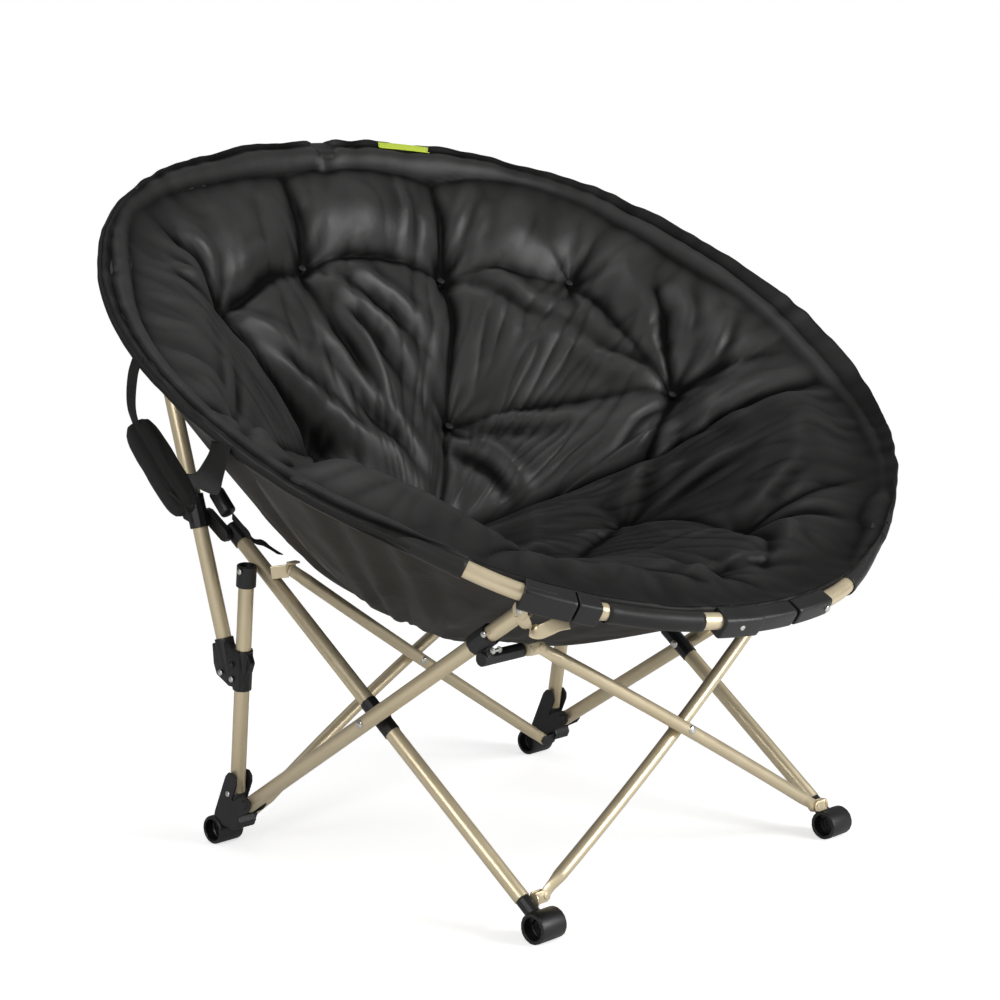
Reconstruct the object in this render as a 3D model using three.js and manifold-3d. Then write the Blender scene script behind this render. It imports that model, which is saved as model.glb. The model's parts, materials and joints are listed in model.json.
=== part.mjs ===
// Folding saucer chair: a padded saucer in an oval rim, on a four-sided scissor frame of round tubes.
// Millimetres, +Z up, the front faces -Y, the left side is at -X.
// The origin is on the floor under the rim's middle.
import * as THREE from 'three';
import { mergeVertices } from 'three/addons/utils/BufferGeometryUtils.js';
import Module from 'manifold-3d';

const wasm = await Module();
wasm.setup();

// Tubes, pins and clearances
const legRadius = 9.5;
const legBore = 8.3;
const braceRadius = 8;
const braceBore = 6.8;
const rimRadius = 9.75;
const rimBore = 8.5;
const pinRadius = 3;
const pinHeadRadius = 5.5;
const pinHeadHeight = 2.4;
const runningGap = 0.35;
const tubeSides = 10;
const pinSides = 8;
const barSegments = 2;
const cutOverrun = 2;

// Side legs, given on the left side as half-widths with their depth and height
const outerLegFoot = [289, 196.6, 62.6];
const outerLegHead = [306, -276, 381.5];
const innerLegFoot = [268.4, -243, 41];
const innerLegHead = [274.3, 236.9, 394.6];
const legEndOverhang = 9;
const crossingShare = 0.46;
const sleeveRadius = 10.7;
const sleeveLength = 52;
const innerCapRadius = 11.2;
const innerCapLength = 26;

// Feet and the brackets that stand on the rear ones
const footRadius = 18;
const footLength = 38;
const footRecessRadius = 13.5;
const footWeb = 9;
const footSides = 16;
const rearFoot = [286.3, 256.9];
const frontFoot = [266.8, -274.5];
const neckRadius = 8.9;
const neckPlug = 14;
const bracketCheek = 3;
const bracketLobe = 11;
const bracketSaddle = [244, 38];
const bracketHeel = [217, 37];
const bracketRoom = 1.4;
const postForkLobe = [222, 88];

// Rear posts: the lower tube, the upper tube and the block between them
const lowerPostFoot = [288.4, 225.6, 71.8];
const lowerPostHead = [298.8, 189, 352.7];
const upperPostFoot = [299, 224, 236];
const upperPostHead = [323, 366, 788];
const blockRadius = 12.2;
const blockBarrel = [206, 258];
const blockSocket = [226, 268];
const blockWeb = 9;
const capRadius = 12.4;
const capHeights = [342, 374];
const capArmRadius = 4;
const capArmRise = 16;
const collarRadius = 12.6;
const collarHeights = [402, 442];
const collarArm = 9;

// Crossed braces: half-widths, depth and height of the pivots, the bow of the tubes and how they pass
const frontBraceTop = [228, -220.4, 320.2];
const frontBraceBottom = [242, -259.5, 42];
const rearBraceTop = [270.5, 145.9, 362.7];
const rearBraceBottom = [260.5, 224.6, 32.4];
const frontBraceBow = 9;
const rearBraceBow = 18;
const bracePassing = 17;
const rearPinLean = THREE.MathUtils.degToRad(-3.5);
const braceSteps = 4;
const tangThickness = 4;
const tangRadius = 7;
const tangReach = 18;
const clevisCheek = 2;
const clevisReach = 15.5;
const topClevisReach = 18;
const clevisEar = 2.5;
const clampRadius = 13;
const clampLength = 32;
const clampDepth = -216;
const barrelRadius = 8.5;
const headShare = 0.8;

// Rim: an oval, wider towards the back, that leans back and saddles a little
const rimHalfWidth = 551.4;
const rimHalfLength = 475.2;
const rimRoundness = 2.04;
const rimTaperShare = 0.094;
const rimSaddle = 5.8;
const rimHeight = 605.5;
const rimTilt = THREE.MathUtils.degToRad(32.06);
const frontCornerX = 308;
const rearCornerX = 322;
const sideHingeX = 480;
const cornerPitch = 18;
const sideHingeHalfGap = 14;
const rearHingeHalfGap = 18;
const rimSides = 8;
const rimStep = 100;
const lugRadius = 7;
const lugThickness = 5;
const coverRadius = 14.2;
const coverBore = 11.8;
const coverSpan = [336, 299];
const coverSplit = 2;
const swingSteps = 4;

// Where the rim arcs point when the chair is folded, as shares of their chord
const frontArcFoldShare = [0.525, -0.72, -0.453];
const sideFrontFoldShare = [-0.157, 0.61, -0.776];
const sideRearFoldShare = [-0.1, -0.4594, -0.8826];
const rearArcFoldShare = [0.14, 0.1, -0.985];

// Front centre hinge on the rim
const hingeSleeveRadius = 12;
const hingeBoxSize = 26;
const hingeBoxOuter = 116;
const hingeBoxInner = 59;
const hingeSleeveEnd = 31;
const hingeForkTip = 9;
const hingeSlotBottom = 25;
const hingeTang = 7;
const hingeTangTip = 2;
const hingeTangWidth = 18;
const hingeBoreRoom = 1.4;

// Saucer: the outer cloth bowl and the tufted cushion in it
const bowlDepth = 398;
const bowlFlatness = 1.512;
const bowlFullness = 1.091;
const bowlThickness = 3;
const bowlEdgeShare = 0.93;
const bowlFoldDepth = 6;
const bowlFolds = 8;
const cushionGap = 0.6;
const cushionEdgeOut = 7;
const cushionEdgeRise = 14.9;
const cushionEdgeHeight = 9;
const cushionThickness = 92;
const cushionSideThickness = 52;
const tuftDepth = 24;
const tuftRadius = 66;
const pleatDepth = 5;
const saucerSides = 28;
const topRowShares = [0.11, 0.22, 0.33, 0.44, 0.55, 0.66, 0.77, 0.87, 0.95];
const bowlRowShares = [0.12, 0.3, 0.48, 0.64, 0.78, 0.89];
const tuftRings = [{ share: 0.36, count: 5, turnShare: 0.25 }, { share: 0.72, count: 9, turnShare: 0.25 }];

// Folded pouch under the left side of the rim, and the strap in front of it
const pouchSize = [24, 92, 96];
const pouchCentre = [530, 56, 522];
const pouchLean = THREE.MathUtils.degToRad(24);
const pouchStrap = [3, 40];
const strapRoom = [2.6, 9];
const strapSection = [3, 44];
const strapDepth = -74;
const strapFall = [[6, 14, 36], [24, 44, 66], [48, 84, 80]];
const strapSteps = 12;

const finishes = {
  frame: { color: 0xa8946c, metalness: 0.85, roughness: 0.36 },
  zinc: { color: 0xb9b6ad, metalness: 0.9, roughness: 0.35 },
  plastic: { color: 0x17171a, metalness: 0, roughness: 0.55 },
  cloth: { color: 0x26241f, metalness: 0, roughness: 0.85 },
  cushion: { color: 0x1c1b1a, metalness: 0, roughness: 0.6 },
};

const vector = (values) => new THREE.Vector3(...values);
const left = ([x, y, z]) => new THREE.Vector3(-x, y, z);
const xAxis = vector([1, 0, 0]);
const yAxis = vector([0, 1, 0]);
const zAxis = vector([0, 0, 1]);
const alongX = (distance) => xAxis.clone().multiplyScalar(distance);
const between = (a, b, share) => a.clone().lerp(b, share);
const toward = (a, b) => b.clone().sub(a).normalize();
const shifted = (p, direction, distance) => p.clone().addScaledVector(direction, distance);

// Merges the shared corners, drops empty triangles and turns all faces outwards.
function closed(geometry) {
  geometry.deleteAttribute('normal');
  geometry.deleteAttribute('uv');
  const merged = mergeVertices(geometry);
  const places = merged.getAttribute('position');
  const corners = merged.getIndex().array;
  const kept = [];
  let volume = 0;
  const [a, b, c] = [new THREE.Vector3(), new THREE.Vector3(), new THREE.Vector3()];
  for (let i = 0; i < corners.length; i += 3) {
    const [p, q, r] = corners.slice(i, i + 3);
    if (p === q || q === r || r === p) continue;
    kept.push(p, q, r);
    a.fromBufferAttribute(places, p);
    b.fromBufferAttribute(places, q);
    c.fromBufferAttribute(places, r);
    volume += a.dot(b.cross(c));
  }
  if (volume < 0) kept.reverse();
  merged.setIndex(kept);
  return merged;
}

function solid(geometry) {
  const merged = closed(geometry);
  return new wasm.Manifold(new wasm.Mesh({
    numProp: 3,
    vertProperties: new Float32Array(merged.getAttribute('position').array),
    triVerts: new Uint32Array(merged.getIndex().array),
  }));
}

function fromSolid(body) {
  const mesh = body.getMesh();
  const geometry = new THREE.BufferGeometry();
  geometry.setAttribute('position', new THREE.BufferAttribute(mesh.vertProperties, mesh.numProp));
  geometry.setIndex(new THREE.BufferAttribute(mesh.triVerts, 1));
  return geometry;
}

function joined(...geometries) {
  return fromSolid(geometries.map(solid).reduce((sum, part) => sum.add(part)));
}

function cut(geometry, ...tools) {
  return fromSolid(tools.map(solid).reduce((rest, tool) => rest.subtract(tool), solid(geometry)));
}

function mirrored(geometry) {
  const copy = closed(geometry.clone());
  copy.scale(-1, 1, 1);
  return closed(copy);
}

// Turns a shape made along +Y from the origin so that it starts at one point and runs towards another.
function laid(geometry, from, to) {
  geometry.applyQuaternion(new THREE.Quaternion().setFromUnitVectors(yAxis, toward(from, to)));
  geometry.translate(from.x, from.y, from.z);
  return geometry;
}

function rod(from, to, radius, sides = tubeSides) {
  const length = from.distanceTo(to);
  const geometry = new THREE.CylinderGeometry(radius, radius, length, sides);
  geometry.translate(0, length / 2, 0);
  return laid(geometry, from, to);
}

function pipe(from, to, outer, inner, sides = tubeSides) {
  const length = from.distanceTo(to);
  const profile = [[inner, 0], [outer, 0], [outer, length], [inner, length], [inner, 0]];
  return laid(new THREE.LatheGeometry(profile.map((p) => new THREE.Vector2(...p)), sides), from, to);
}

function rivet(from, to) {
  const length = from.distanceTo(to);
  const half = pinHeadHeight / 2;
  const profile = [
    [0, -pinHeadHeight], [pinHeadRadius / 2, -pinHeadHeight], [pinHeadRadius, -half], [pinHeadRadius, 0],
    [pinRadius, 0], [pinRadius, length], [pinHeadRadius, length], [pinHeadRadius, length + half],
    [pinHeadRadius / 2, length + pinHeadHeight], [0, length + pinHeadHeight],
  ];
  return laid(new THREE.LatheGeometry(profile.map((p) => new THREE.Vector2(...p)), pinSides), from, to);
}

function pin(from, to, radius = pinRadius) {
  return rod(from, to, radius, pinSides);
}

function pinBore(centre, direction, reach) {
  const ends = [-reach, reach].map((along) => shifted(centre, direction, along));
  return rod(...ends, pinRadius + runningGap, pinSides);
}

// A flat bar with round ends, of the given thickness across its normal.
function bar(from, to, radius, thickness, normal) {
  const across = normal.clone().normalize();
  const run = to.clone().sub(from);
  run.addScaledVector(across, -run.dot(across));
  const length = run.length();
  const ahead = length > 0 ? run.normalize() : new THREE.Vector3().crossVectors(across, xAxis).normalize();
  const shape = new THREE.Shape();
  shape.absarc(length, 0, radius, -Math.PI / 2, Math.PI / 2, false);
  shape.absarc(0, 0, radius, Math.PI / 2, Math.PI * 3 / 2, false);
  const geometry = new THREE.ExtrudeGeometry(shape, {
    depth: thickness,
    bevelEnabled: false,
    curveSegments: barSegments,
  });
  geometry.translate(0, 0, -thickness / 2);
  const side = new THREE.Vector3().crossVectors(across, ahead);
  geometry.applyMatrix4(new THREE.Matrix4().makeBasis(ahead, side, across));
  geometry.translate(from.x, from.y, from.z);
  return geometry;
}

function block(size, centre) {
  const geometry = new THREE.BoxGeometry(...size);
  geometry.translate(centre.x, centre.y, centre.z);
  return geometry;
}

const chair = new THREE.Group();
const pivots = {};

function addPiece(name, geometry, finish) {
  const shape = closed(geometry);
  shape.computeVertexNormals();
  const mesh = new THREE.Mesh(shape, new THREE.MeshStandardMaterial(finishes[finish]));
  mesh.name = name;
  chair.add(mesh);
}

function addPair(name, geometry, finish) {
  const other = mirrored(geometry);
  addPiece(`${name}_left`, geometry, finish);
  addPiece(`${name}_right`, other, finish);
}

function addPivot(name, place, axis) {
  pivots[name] = { place: place.toArray(), axis: axis.clone().normalize().toArray() };
}

// Legs: the outer one falls to the rear foot, the inner one to the front foot, and a rivet joins them.
const outerFoot = left(outerLegFoot);
const outerHead = left(outerLegHead);
const innerFoot = left(innerLegFoot);
const innerHead = left(innerLegHead);
const outerRun = toward(outerFoot, outerHead);
const innerRun = toward(innerFoot, innerHead);

function crossing() {
  const slope = (innerHead.z - innerFoot.z) / (innerHead.y - innerFoot.y);
  const outerSlope = (outerHead.z - outerFoot.z) / (outerHead.y - outerFoot.y);
  const outerBase = outerFoot.z - outerSlope * outerFoot.y;
  const innerBase = innerFoot.z - slope * innerFoot.y;
  const y = (innerBase - outerBase) / (outerSlope - slope);
  const outerAt = between(outerFoot, outerHead, (y - outerFoot.y) / (outerHead.y - outerFoot.y));
  const innerAt = between(innerFoot, innerHead, (y - innerFoot.y) / (innerHead.y - innerFoot.y));
  return { outerAt, innerAt };
}

const { outerAt, innerAt } = crossing();
const boreReach = sleeveRadius * 2;

function addLegs() {
  const outerStart = shifted(outerFoot, outerRun, -legEndOverhang);
  const outerEnd = shifted(outerHead, outerRun, legEndOverhang);
  addPair('outer_leg', cut(
    pipe(outerStart, outerEnd, legRadius, legBore),
    pinBore(outerFoot, xAxis, boreReach),
    pinBore(outerHead, xAxis, boreReach),
    pinBore(outerAt, xAxis, boreReach),
  ), 'frame');
  const innerEnd = shifted(innerHead, innerRun, legEndOverhang);
  addPair('inner_leg', cut(
    pipe(innerFoot, innerEnd, legRadius, legBore),
    pinBore(innerHead, xAxis, boreReach),
    pinBore(innerAt, xAxis, boreReach),
  ), 'frame');
  const sleeveLow = shifted(innerAt, innerRun, -sleeveLength * crossingShare);
  const sleeveHigh = shifted(sleeveLow, innerRun, sleeveLength);
  addPair('leg_sleeve', cut(
    pipe(sleeveLow, sleeveHigh, sleeveRadius, legRadius + runningGap),
    pinBore(innerAt, xAxis, boreReach),
  ), 'plastic');
  const capLowEnd = shifted(innerEnd, innerRun, -innerCapLength);
  addPair('inner_leg_cap', cut(
    rod(capLowEnd, shifted(innerEnd, innerRun, cutOverrun), innerCapRadius),
    rod(
      shifted(capLowEnd, innerRun, -cutOverrun),
      shifted(innerEnd, innerRun, runningGap),
      legRadius + runningGap,
    ),
    pinBore(innerHead, xAxis, boreReach),
  ), 'plastic');
  const outside = outerAt.clone().add(alongX(-legRadius - runningGap));
  const inside = innerAt.clone().add(alongX(sleeveRadius + runningGap));
  inside.y = outside.y;
  inside.z = outside.z;
  addPair('side_rivet', rivet(outside, inside), 'zinc');
  addPivot('fold', outerFoot, xAxis);
  addPivot('crossing', outerAt, xAxis);
  addPivot('post_head', innerHead, xAxis);
  addPivot('front_corner', outerHead, xAxis);
}

// Feet are short rollers across the chair, with a flat to stand on and a web inside.
const footCentreHeight = footRadius * Math.cos(Math.PI / footSides);

function footRoller(place) {
  const half = footLength / 2;
  const web = footWeb / 2;
  const profile = [
    [0, -web], [footRecessRadius, -web], [footRecessRadius, -half], [footRadius, -half],
    [footRadius, half], [footRecessRadius, half], [footRecessRadius, web], [0, web],
  ];
  const geometry = new THREE.LatheGeometry(profile.map((p) => new THREE.Vector2(...p)), footSides);
  geometry.rotateY(Math.PI / footSides);
  geometry.rotateZ(Math.PI / 2);
  geometry.translate(-place[0], place[1], footCentreHeight);
  return geometry;
}

function footSpace(place) {
  const centre = left([...place, footCentreHeight]);
  const reach = alongX(footLength);
  return rod(centre.clone().sub(reach), centre.clone().add(reach), footRadius + runningGap, footSides);
}

// The two directions that span a brace pair: up along its lean, and the normal that faces the front.
function bracePlane(top, bottom, pinLean) {
  const up = vector([0, top[1] - bottom[1], top[2] - bottom[2]]).normalize().applyAxisAngle(xAxis, pinLean);
  return { up, facing: new THREE.Vector3().crossVectors(up, xAxis).negate() };
}

const frontPlane = bracePlane(frontBraceTop, frontBraceBottom, 0);
const rearPlane = bracePlane(rearBraceTop, rearBraceBottom, rearPinLean);

// Side +1 is the front tube of a pair and side -1 the one behind it.
function bracePivot(place, hand, plane, side) {
  return shifted(vector([place[0] * hand, place[1], place[2]]), plane.facing, side * bracePassing / 2);
}

const cheekOffset = tangThickness / 2 + runningGap + clevisCheek / 2;

// Cheeks that open towards the chair's middle, on one or both sides of a tang, with an ear outside.
function braceClevis(pivot, hand, reach, earReach, sides) {
  const plane = frontPlane;
  const ear = shifted(pivot, xAxis, hand * reach);
  const pieces = sides.map((side) => bar(
    shifted(pivot, plane.facing, side * cheekOffset),
    shifted(ear, plane.facing, side * cheekOffset),
    tangRadius, clevisCheek, plane.facing,
  ));
  const beyond = block([tangRadius * 4, tangRadius * 6, tangRadius * 6],
    shifted(ear, xAxis, hand * (clevisEar / 2 + tangRadius * 2)));
  const trimmed = pieces.map((piece) => cut(piece, beyond));
  const earPlate = bar(
    vector([ear.x, pivot.y, pivot.z]), vector([ear.x, earReach.y, earReach.z]),
    tangRadius, clevisEar, xAxis,
  );
  const heads = sides.map((side) => pin(
    shifted(pivot, plane.facing, side * (cheekOffset + clevisCheek / 4)),
    shifted(pivot, plane.facing, side * (cheekOffset + clevisCheek / 2 + pinHeadHeight / 2)),
    pinHeadRadius * headShare,
  ));
  return joined(...trimmed, earPlate, ...heads);
}

// A brace: a bowed tube with a flat tang at each end.
function brace(from, to, plane, bow) {
  const start = shifted(from, toward(from, to), tangReach);
  const end = shifted(to, toward(to, from), tangReach);
  const middle = shifted(between(start, end, 1 / 2), plane.facing, bow * 2);
  const path = new THREE.QuadraticBezierCurve3(start, middle, end);
  const ring = new THREE.Shape();
  ring.absarc(0, 0, braceRadius, 0, Math.PI * 2, false);
  const hole = new THREE.Path();
  hole.absarc(0, 0, braceBore, 0, Math.PI * 2, true);
  ring.holes.push(hole);
  const tube = new THREE.ExtrudeGeometry(ring, {
    steps: braceSteps, curveSegments: tubeSides / 2, extrudePath: path, bevelEnabled: false,
  });
  const tangs = [[from, to], [to, from]].map(([end1, end2]) => bar(
    end1, shifted(end1, toward(end1, end2), tangReach * 2), tangRadius, tangThickness, plane.facing,
  ));
  return joined(tube, ...tangs);
}

function planeCrossing(top, bottom, plane, bow) {
  const share = bottom[0] / (top[0] + bottom[0]);
  const middle = between(vector([0, bottom[1], bottom[2]]), vector([0, top[1], top[2]]), share);
  return shifted(middle, plane.facing, bow);
}

function addBracePair(name, top, bottom, plane, bow, frontHand) {
  const spans = [[frontHand, 1], [-frontHand, -1]];
  const middle = planeCrossing(top, bottom, plane, bow);
  const reach = shifted(middle, plane.facing, bracePassing * 2).sub(middle);
  spans.forEach(([hand, side]) => {
    const from = bracePivot(bottom, hand, plane, side);
    const to = bracePivot(top, -hand, plane, side);
    const facing = hand > 0 ? 'right' : 'left';
    const hole = rod(middle.clone().sub(reach), middle.clone().add(reach), pinRadius + runningGap);
    addPiece(`${name}_from_${facing}`, cut(brace(from, to, plane, bow), hole), 'frame');
  });
  const half = bracePassing / 2 + braceRadius + runningGap;
  const seats = [-half, half].map((along) => shifted(middle, plane.facing, along));
  addPiece(`${name}_rivet`, rivet(...seats), 'zinc');
  addPivot(`${name}_crossing`, middle, plane.facing);
}

// Front foot: the roller, a neck that plugs into the inner leg, and a bore for the clevis pin.
const frontFootCentre = left([...frontFoot, footCentreHeight]);
const neckPin = between(frontFootCentre, innerFoot, 3 / 4);

function addFrontFeet() {
  const start = shifted(frontFootCentre, innerRun, footRadius / 2);
  const neckFoot = new THREE.Vector3(innerFoot.x, start.y, start.z);
  const shoulder = shifted(innerFoot, innerRun, -runningGap);
  const plugRadius = legBore - runningGap;
  const earRoom = neckPin.clone().add(alongX(footLength));
  addPair('front_foot', cut(
    joined(
      footRoller(frontFoot),
      rod(neckFoot, shoulder, neckRadius),
      rod(shifted(shoulder, innerRun, -cutOverrun), shifted(innerFoot, innerRun, neckPlug), plugRadius),
    ),
    rod(neckPin, earRoom, pinRadius + runningGap),
  ), 'plastic');
}

function frontClevis(hand, side) {
  const pivot = bracePivot(frontBraceBottom, hand, frontPlane, side);
  const seat = vector([neckPin.x * -hand, neckPin.y, neckPin.z]);
  const body = braceClevis(pivot, hand, clevisReach, seat, [1, -1]);
  const earX = hand * (frontBraceBottom[0] + clevisReach);
  const farX = hand * (innerLegFoot[0] - pinRadius);
  const stub = rod(vector([earX, seat.y, seat.z]), vector([farX, seat.y, seat.z]), pinRadius);
  return joined(body, stub);
}

// Rear foot with its forked bracket, which also holds the rear brace.
function rearBracket(hand, side) {
  const centre = vector([hand * outerLegFoot[0], ...bracketSaddle]);
  const heel = vector([hand * outerLegFoot[0], ...bracketHeel]);
  const legPin = vector([hand * outerLegFoot[0], outerLegFoot[1], outerLegFoot[2]]);
  const fork = vector([hand * outerLegFoot[0], ...postForkLobe]);
  const cheekAt = legRadius + bracketRoom + bracketCheek / 2;
  const cheeks = [1, -1].flatMap((way) => {
    const offset = alongX(way * cheekAt);
    const place = (p) => p.clone().add(offset);
    return [
      bar(place(centre), place(legPin), bracketLobe, bracketCheek, xAxis),
      bar(place(centre), place(fork), bracketLobe, bracketCheek, xAxis),
    ];
  });
  const base = bar(centre, heel, bracketLobe, cheekAt * 2 + bracketCheek, xAxis);
  const shank = pin(shifted(legPin, xAxis, -cheekAt), shifted(legPin, xAxis, cheekAt));
  const heads = [1, -1].map((way) => pin(
    shifted(legPin, xAxis, way * cheekAt),
    shifted(legPin, xAxis, way * (cheekAt + bracketCheek / 2 + pinHeadHeight)),
    pinHeadRadius,
  ));
  const pivot = bracePivot(rearBraceBottom, hand, rearPlane, side);
  const inner = hand * (outerLegFoot[0] - cheekAt);
  const arms = [1, -1].map((way) => bar(
    shifted(pivot, rearPlane.facing, way * cheekOffset),
    shifted(vector([inner, pivot.y, pivot.z]), rearPlane.facing, way * cheekOffset),
    tangRadius, clevisCheek, rearPlane.facing,
  ));
  const armRoom = block([legRadius * 2, bracketLobe * 8, bracketLobe * 8], legPin);
  const trimmed = arms.map((arm) => cut(arm, armRoom));
  return cut(joined(base, ...cheeks, shank, ...heads, ...trimmed), footRoom(hand));
}

function footRoom(hand) {
  const space = footSpace(rearFoot);
  return hand > 0 ? mirrored(space) : space;
}

// Rear posts
const lowerFoot = left(lowerPostFoot);
const lowerHead = left(lowerPostHead);
const upperFoot = left(upperPostFoot);
const upperHead = left(upperPostHead);
const atHeight = (from, to, height) => between(from, to, (height - from.z) / (to.z - from.z));

function addPosts() {
  addPair('lower_post', pipe(lowerFoot, lowerHead, legRadius, legBore), 'frame');
  addPair('upper_post', pipe(upperFoot, upperHead, legRadius, legBore), 'frame');
  const lower = blockBarrel.map((height) => atHeight(lowerFoot, lowerHead, height));
  const upper = blockSocket.map((height) => atHeight(upperFoot, upperHead, height));
  const middleHeight = (blockBarrel[1] + blockSocket[0]) / 2;
  const web = bar(
    atHeight(lowerFoot, lowerHead, middleHeight), atHeight(upperFoot, upperHead, middleHeight),
    blockWeb * 2, blockWeb, xAxis,
  );
  const lowerRun = toward(lowerFoot, lowerHead);
  const upperRun = toward(upperFoot, upperHead);
  const lowerBore = rod(
    shifted(lower[0], lowerRun, -blockRadius * 3),
    shifted(lower[1], lowerRun, blockRadius * 3),
    legRadius + runningGap,
  );
  const upperBore = rod(shifted(upperFoot, upperRun, -runningGap), shifted(upper[1], upperRun, blockRadius),
    legRadius + runningGap);
  addPair('post_block', cut(
    joined(rod(lower[0], lower[1], blockRadius), rod(upper[0], upper[1], blockRadius), web),
    lowerBore, upperBore,
  ), 'plastic');
}

// The cap on the lower post reaches over the inner leg to the clevis of the rear brace.
function postCap(hand, side) {
  const cap = capHeights.map((height) => atHeight(lowerFoot, lowerHead, height));
  const run = toward(lowerFoot, lowerHead);
  const pivot = bracePivot(rearBraceTop, hand, rearPlane, side);
  const mirror = (p) => vector([-hand * p.x, p.y, p.z]);
  const roof = mirror(shifted(cap[1], run, -capArmRadius));
  const armHeight = pivot.z + capArmRise;
  const bend = vector([roof.x, roof.y, armHeight]);
  const tip = vector([pivot.x, pivot.y, armHeight]);
  const tipClear = shifted(tip, toward(tip, bend), -tangRadius);
  const cup = cut(
    rod(mirror(cap[0]), mirror(cap[1]), capRadius),
    rod(
      mirror(shifted(cap[0], run, -cutOverrun)),
      mirror(shifted(lowerHead, run, runningGap)),
      legRadius + runningGap,
    ),
  );
  return joined(cup, rod(roof, bend, capArmRadius),
    bar(bend, tipClear, capArmRadius, capArmRadius * 2, zAxis));
}

function rearTopClevis(hand, side) {
  const pivot = bracePivot(rearBraceTop, hand, rearPlane, side);
  const roofRise = capArmRise - capArmRadius - runningGap - clevisEar;
  const roofLow = pivot.z + roofRise;
  const up = yzRise(pivot, roofRise + clevisEar / 2);
  const cheek = bar(
    shifted(pivot, rearPlane.facing, -cheekOffset),
    shifted(up, rearPlane.facing, -cheekOffset),
    tangRadius, clevisCheek, rearPlane.facing,
  );
  const above = block([tangRadius * 6, tangRadius * 6, tangRadius * 4],
    vector([pivot.x, pivot.y, roofLow + clevisEar / 2 + tangRadius * 2]));
  const roof = block([tangRadius * 2, cheekOffset * 2 + clevisCheek, clevisEar],
    vector([up.x, up.y, roofLow + clevisEar / 2]));
  const head = pin(
    shifted(pivot, rearPlane.facing, -(cheekOffset + clevisCheek / 4)),
    shifted(pivot, rearPlane.facing, -(cheekOffset + clevisCheek / 2 + pinHeadHeight / 2)),
    pinHeadRadius * headShare,
  );
  return joined(cut(cheek, above), roof, head);
}

function yzRise(pivot, rise) {
  return shifted(pivot, rearPlane.up, rise / rearPlane.up.z);
}

// The collar on the upper post carries the head of the inner leg on a pin.
function addCollars() {
  const ends = collarHeights.map((height) => atHeight(upperFoot, upperHead, height));
  const run = toward(upperFoot, upperHead);
  const faceX = innerHead.x - innerCapRadius - runningGap * 2;
  const armX = faceX - collarArm / 2;
  const armFoot = between(ends[0], ends[1], 1 / 3);
  const arm = bar(vector([armX, armFoot.y, armFoot.z]), vector([armX, innerHead.y, innerHead.z]),
    barrelRadius, collarArm, xAxis);
  const pinEnd = innerHead.clone().add(alongX(innerCapRadius + runningGap));
  const head = rod(pinEnd, shifted(pinEnd, xAxis, pinHeadHeight), pinHeadRadius);
  addPair('post_collar', cut(
    joined(rod(ends[0], ends[1], collarRadius), arm,
      rod(vector([armX, innerHead.y, innerHead.z]), pinEnd, pinRadius), head),
    rod(shifted(ends[0], run, -collarRadius), shifted(ends[1], run, collarRadius), legRadius + runningGap),
  ), 'plastic');
}

// A clamp on the outer leg with a barrel below it, which carries the clevis of the front brace.
const clampAt = between(outerFoot, outerHead, (clampDepth - outerFoot.y) / (outerHead.y - outerFoot.y));
const clevisEarX = frontBraceTop[0] + topClevisReach;

function addClamps() {
  const half = clampLength / 2;
  const low = shifted(clampAt, outerRun, -half);
  const high = shifted(clampAt, outerRun, half);
  const barrelAt = vector([clampAt.x, frontBraceTop[1], frontBraceTop[2]]);
  const barrelEnd = vector([-(clevisEarX + clevisEar / 2 + runningGap), barrelAt.y, barrelAt.z]);
  const web = bar(clampAt, barrelAt, barrelRadius, barrelRadius, xAxis);
  const barrel = rod(shifted(barrelAt, xAxis, -barrelRadius), barrelEnd, barrelRadius);
  addPair('brace_clamp', cut(
    joined(rod(low, high, clampRadius), web, barrel),
    rod(shifted(low, outerRun, -clampRadius), shifted(high, outerRun, clampRadius), legRadius + runningGap),
    rod(barrelAt, shifted(barrelEnd, xAxis, cutOverrun), pinRadius + runningGap),
  ), 'plastic');
}

function frontTopClevis(hand, side) {
  const pivot = bracePivot(frontBraceTop, hand, frontPlane, side);
  const seat = vector([hand * frontBraceTop[0], frontBraceTop[1], frontBraceTop[2]]);
  const body = braceClevis(pivot, hand, topClevisReach, seat, [1]);
  const stub = rod(vector([hand * clevisEarX, seat.y, seat.z]),
    vector([hand * (clevisEarX + barrelRadius * 2), seat.y, seat.z]), pinRadius);
  return joined(body, stub);
}

// The rim's centre line at an angle round the oval: a quarter turn is the back, a half turn the left side.
const fullTurn = Math.PI * 2;
const rimBack = fullTurn / 4;
const rimLeft = fullTurn / 2;
const rimFront = fullTurn * 3 / 4;

function rimLocal(angle) {
  const bend = (value) => Math.sign(value) * Math.abs(value) ** (2 / rimRoundness);
  const along = rimHalfLength * bend(Math.sin(angle));
  const across = rimHalfWidth * bend(Math.cos(angle)) * (1 + rimTaperShare * along / rimHalfLength);
  return vector([across, along, -rimSaddle * (across / rimHalfWidth) ** 2]);
}

function fromRimPlane(place) {
  return vector([
    place.x,
    place.y * Math.cos(rimTilt) - place.z * Math.sin(rimTilt),
    rimHeight + place.y * Math.sin(rimTilt) + place.z * Math.cos(rimTilt),
  ]);
}

const rimPoint = (angle) => fromRimPlane(rimLocal(angle));

// The angle between two others at which the rim's left half passes a given half-width.
function rimAngleAt(halfWidth, wide, narrow) {
  let [outer, inner] = [wide, narrow];
  for (let turn = 0; turn < 40; turn += 1) {
    const middle = (outer + inner) / 2;
    if (-rimPoint(middle).x > halfWidth) outer = middle;
    else inner = middle;
  }
  return (outer + inner) / 2;
}

class RimArc extends THREE.Curve {
  constructor(start, end) {
    super();
    this.start = start;
    this.end = end;
  }

  getPoint(share) {
    return rimPoint(this.start + (this.end - this.start) * share);
  }
}

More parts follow.
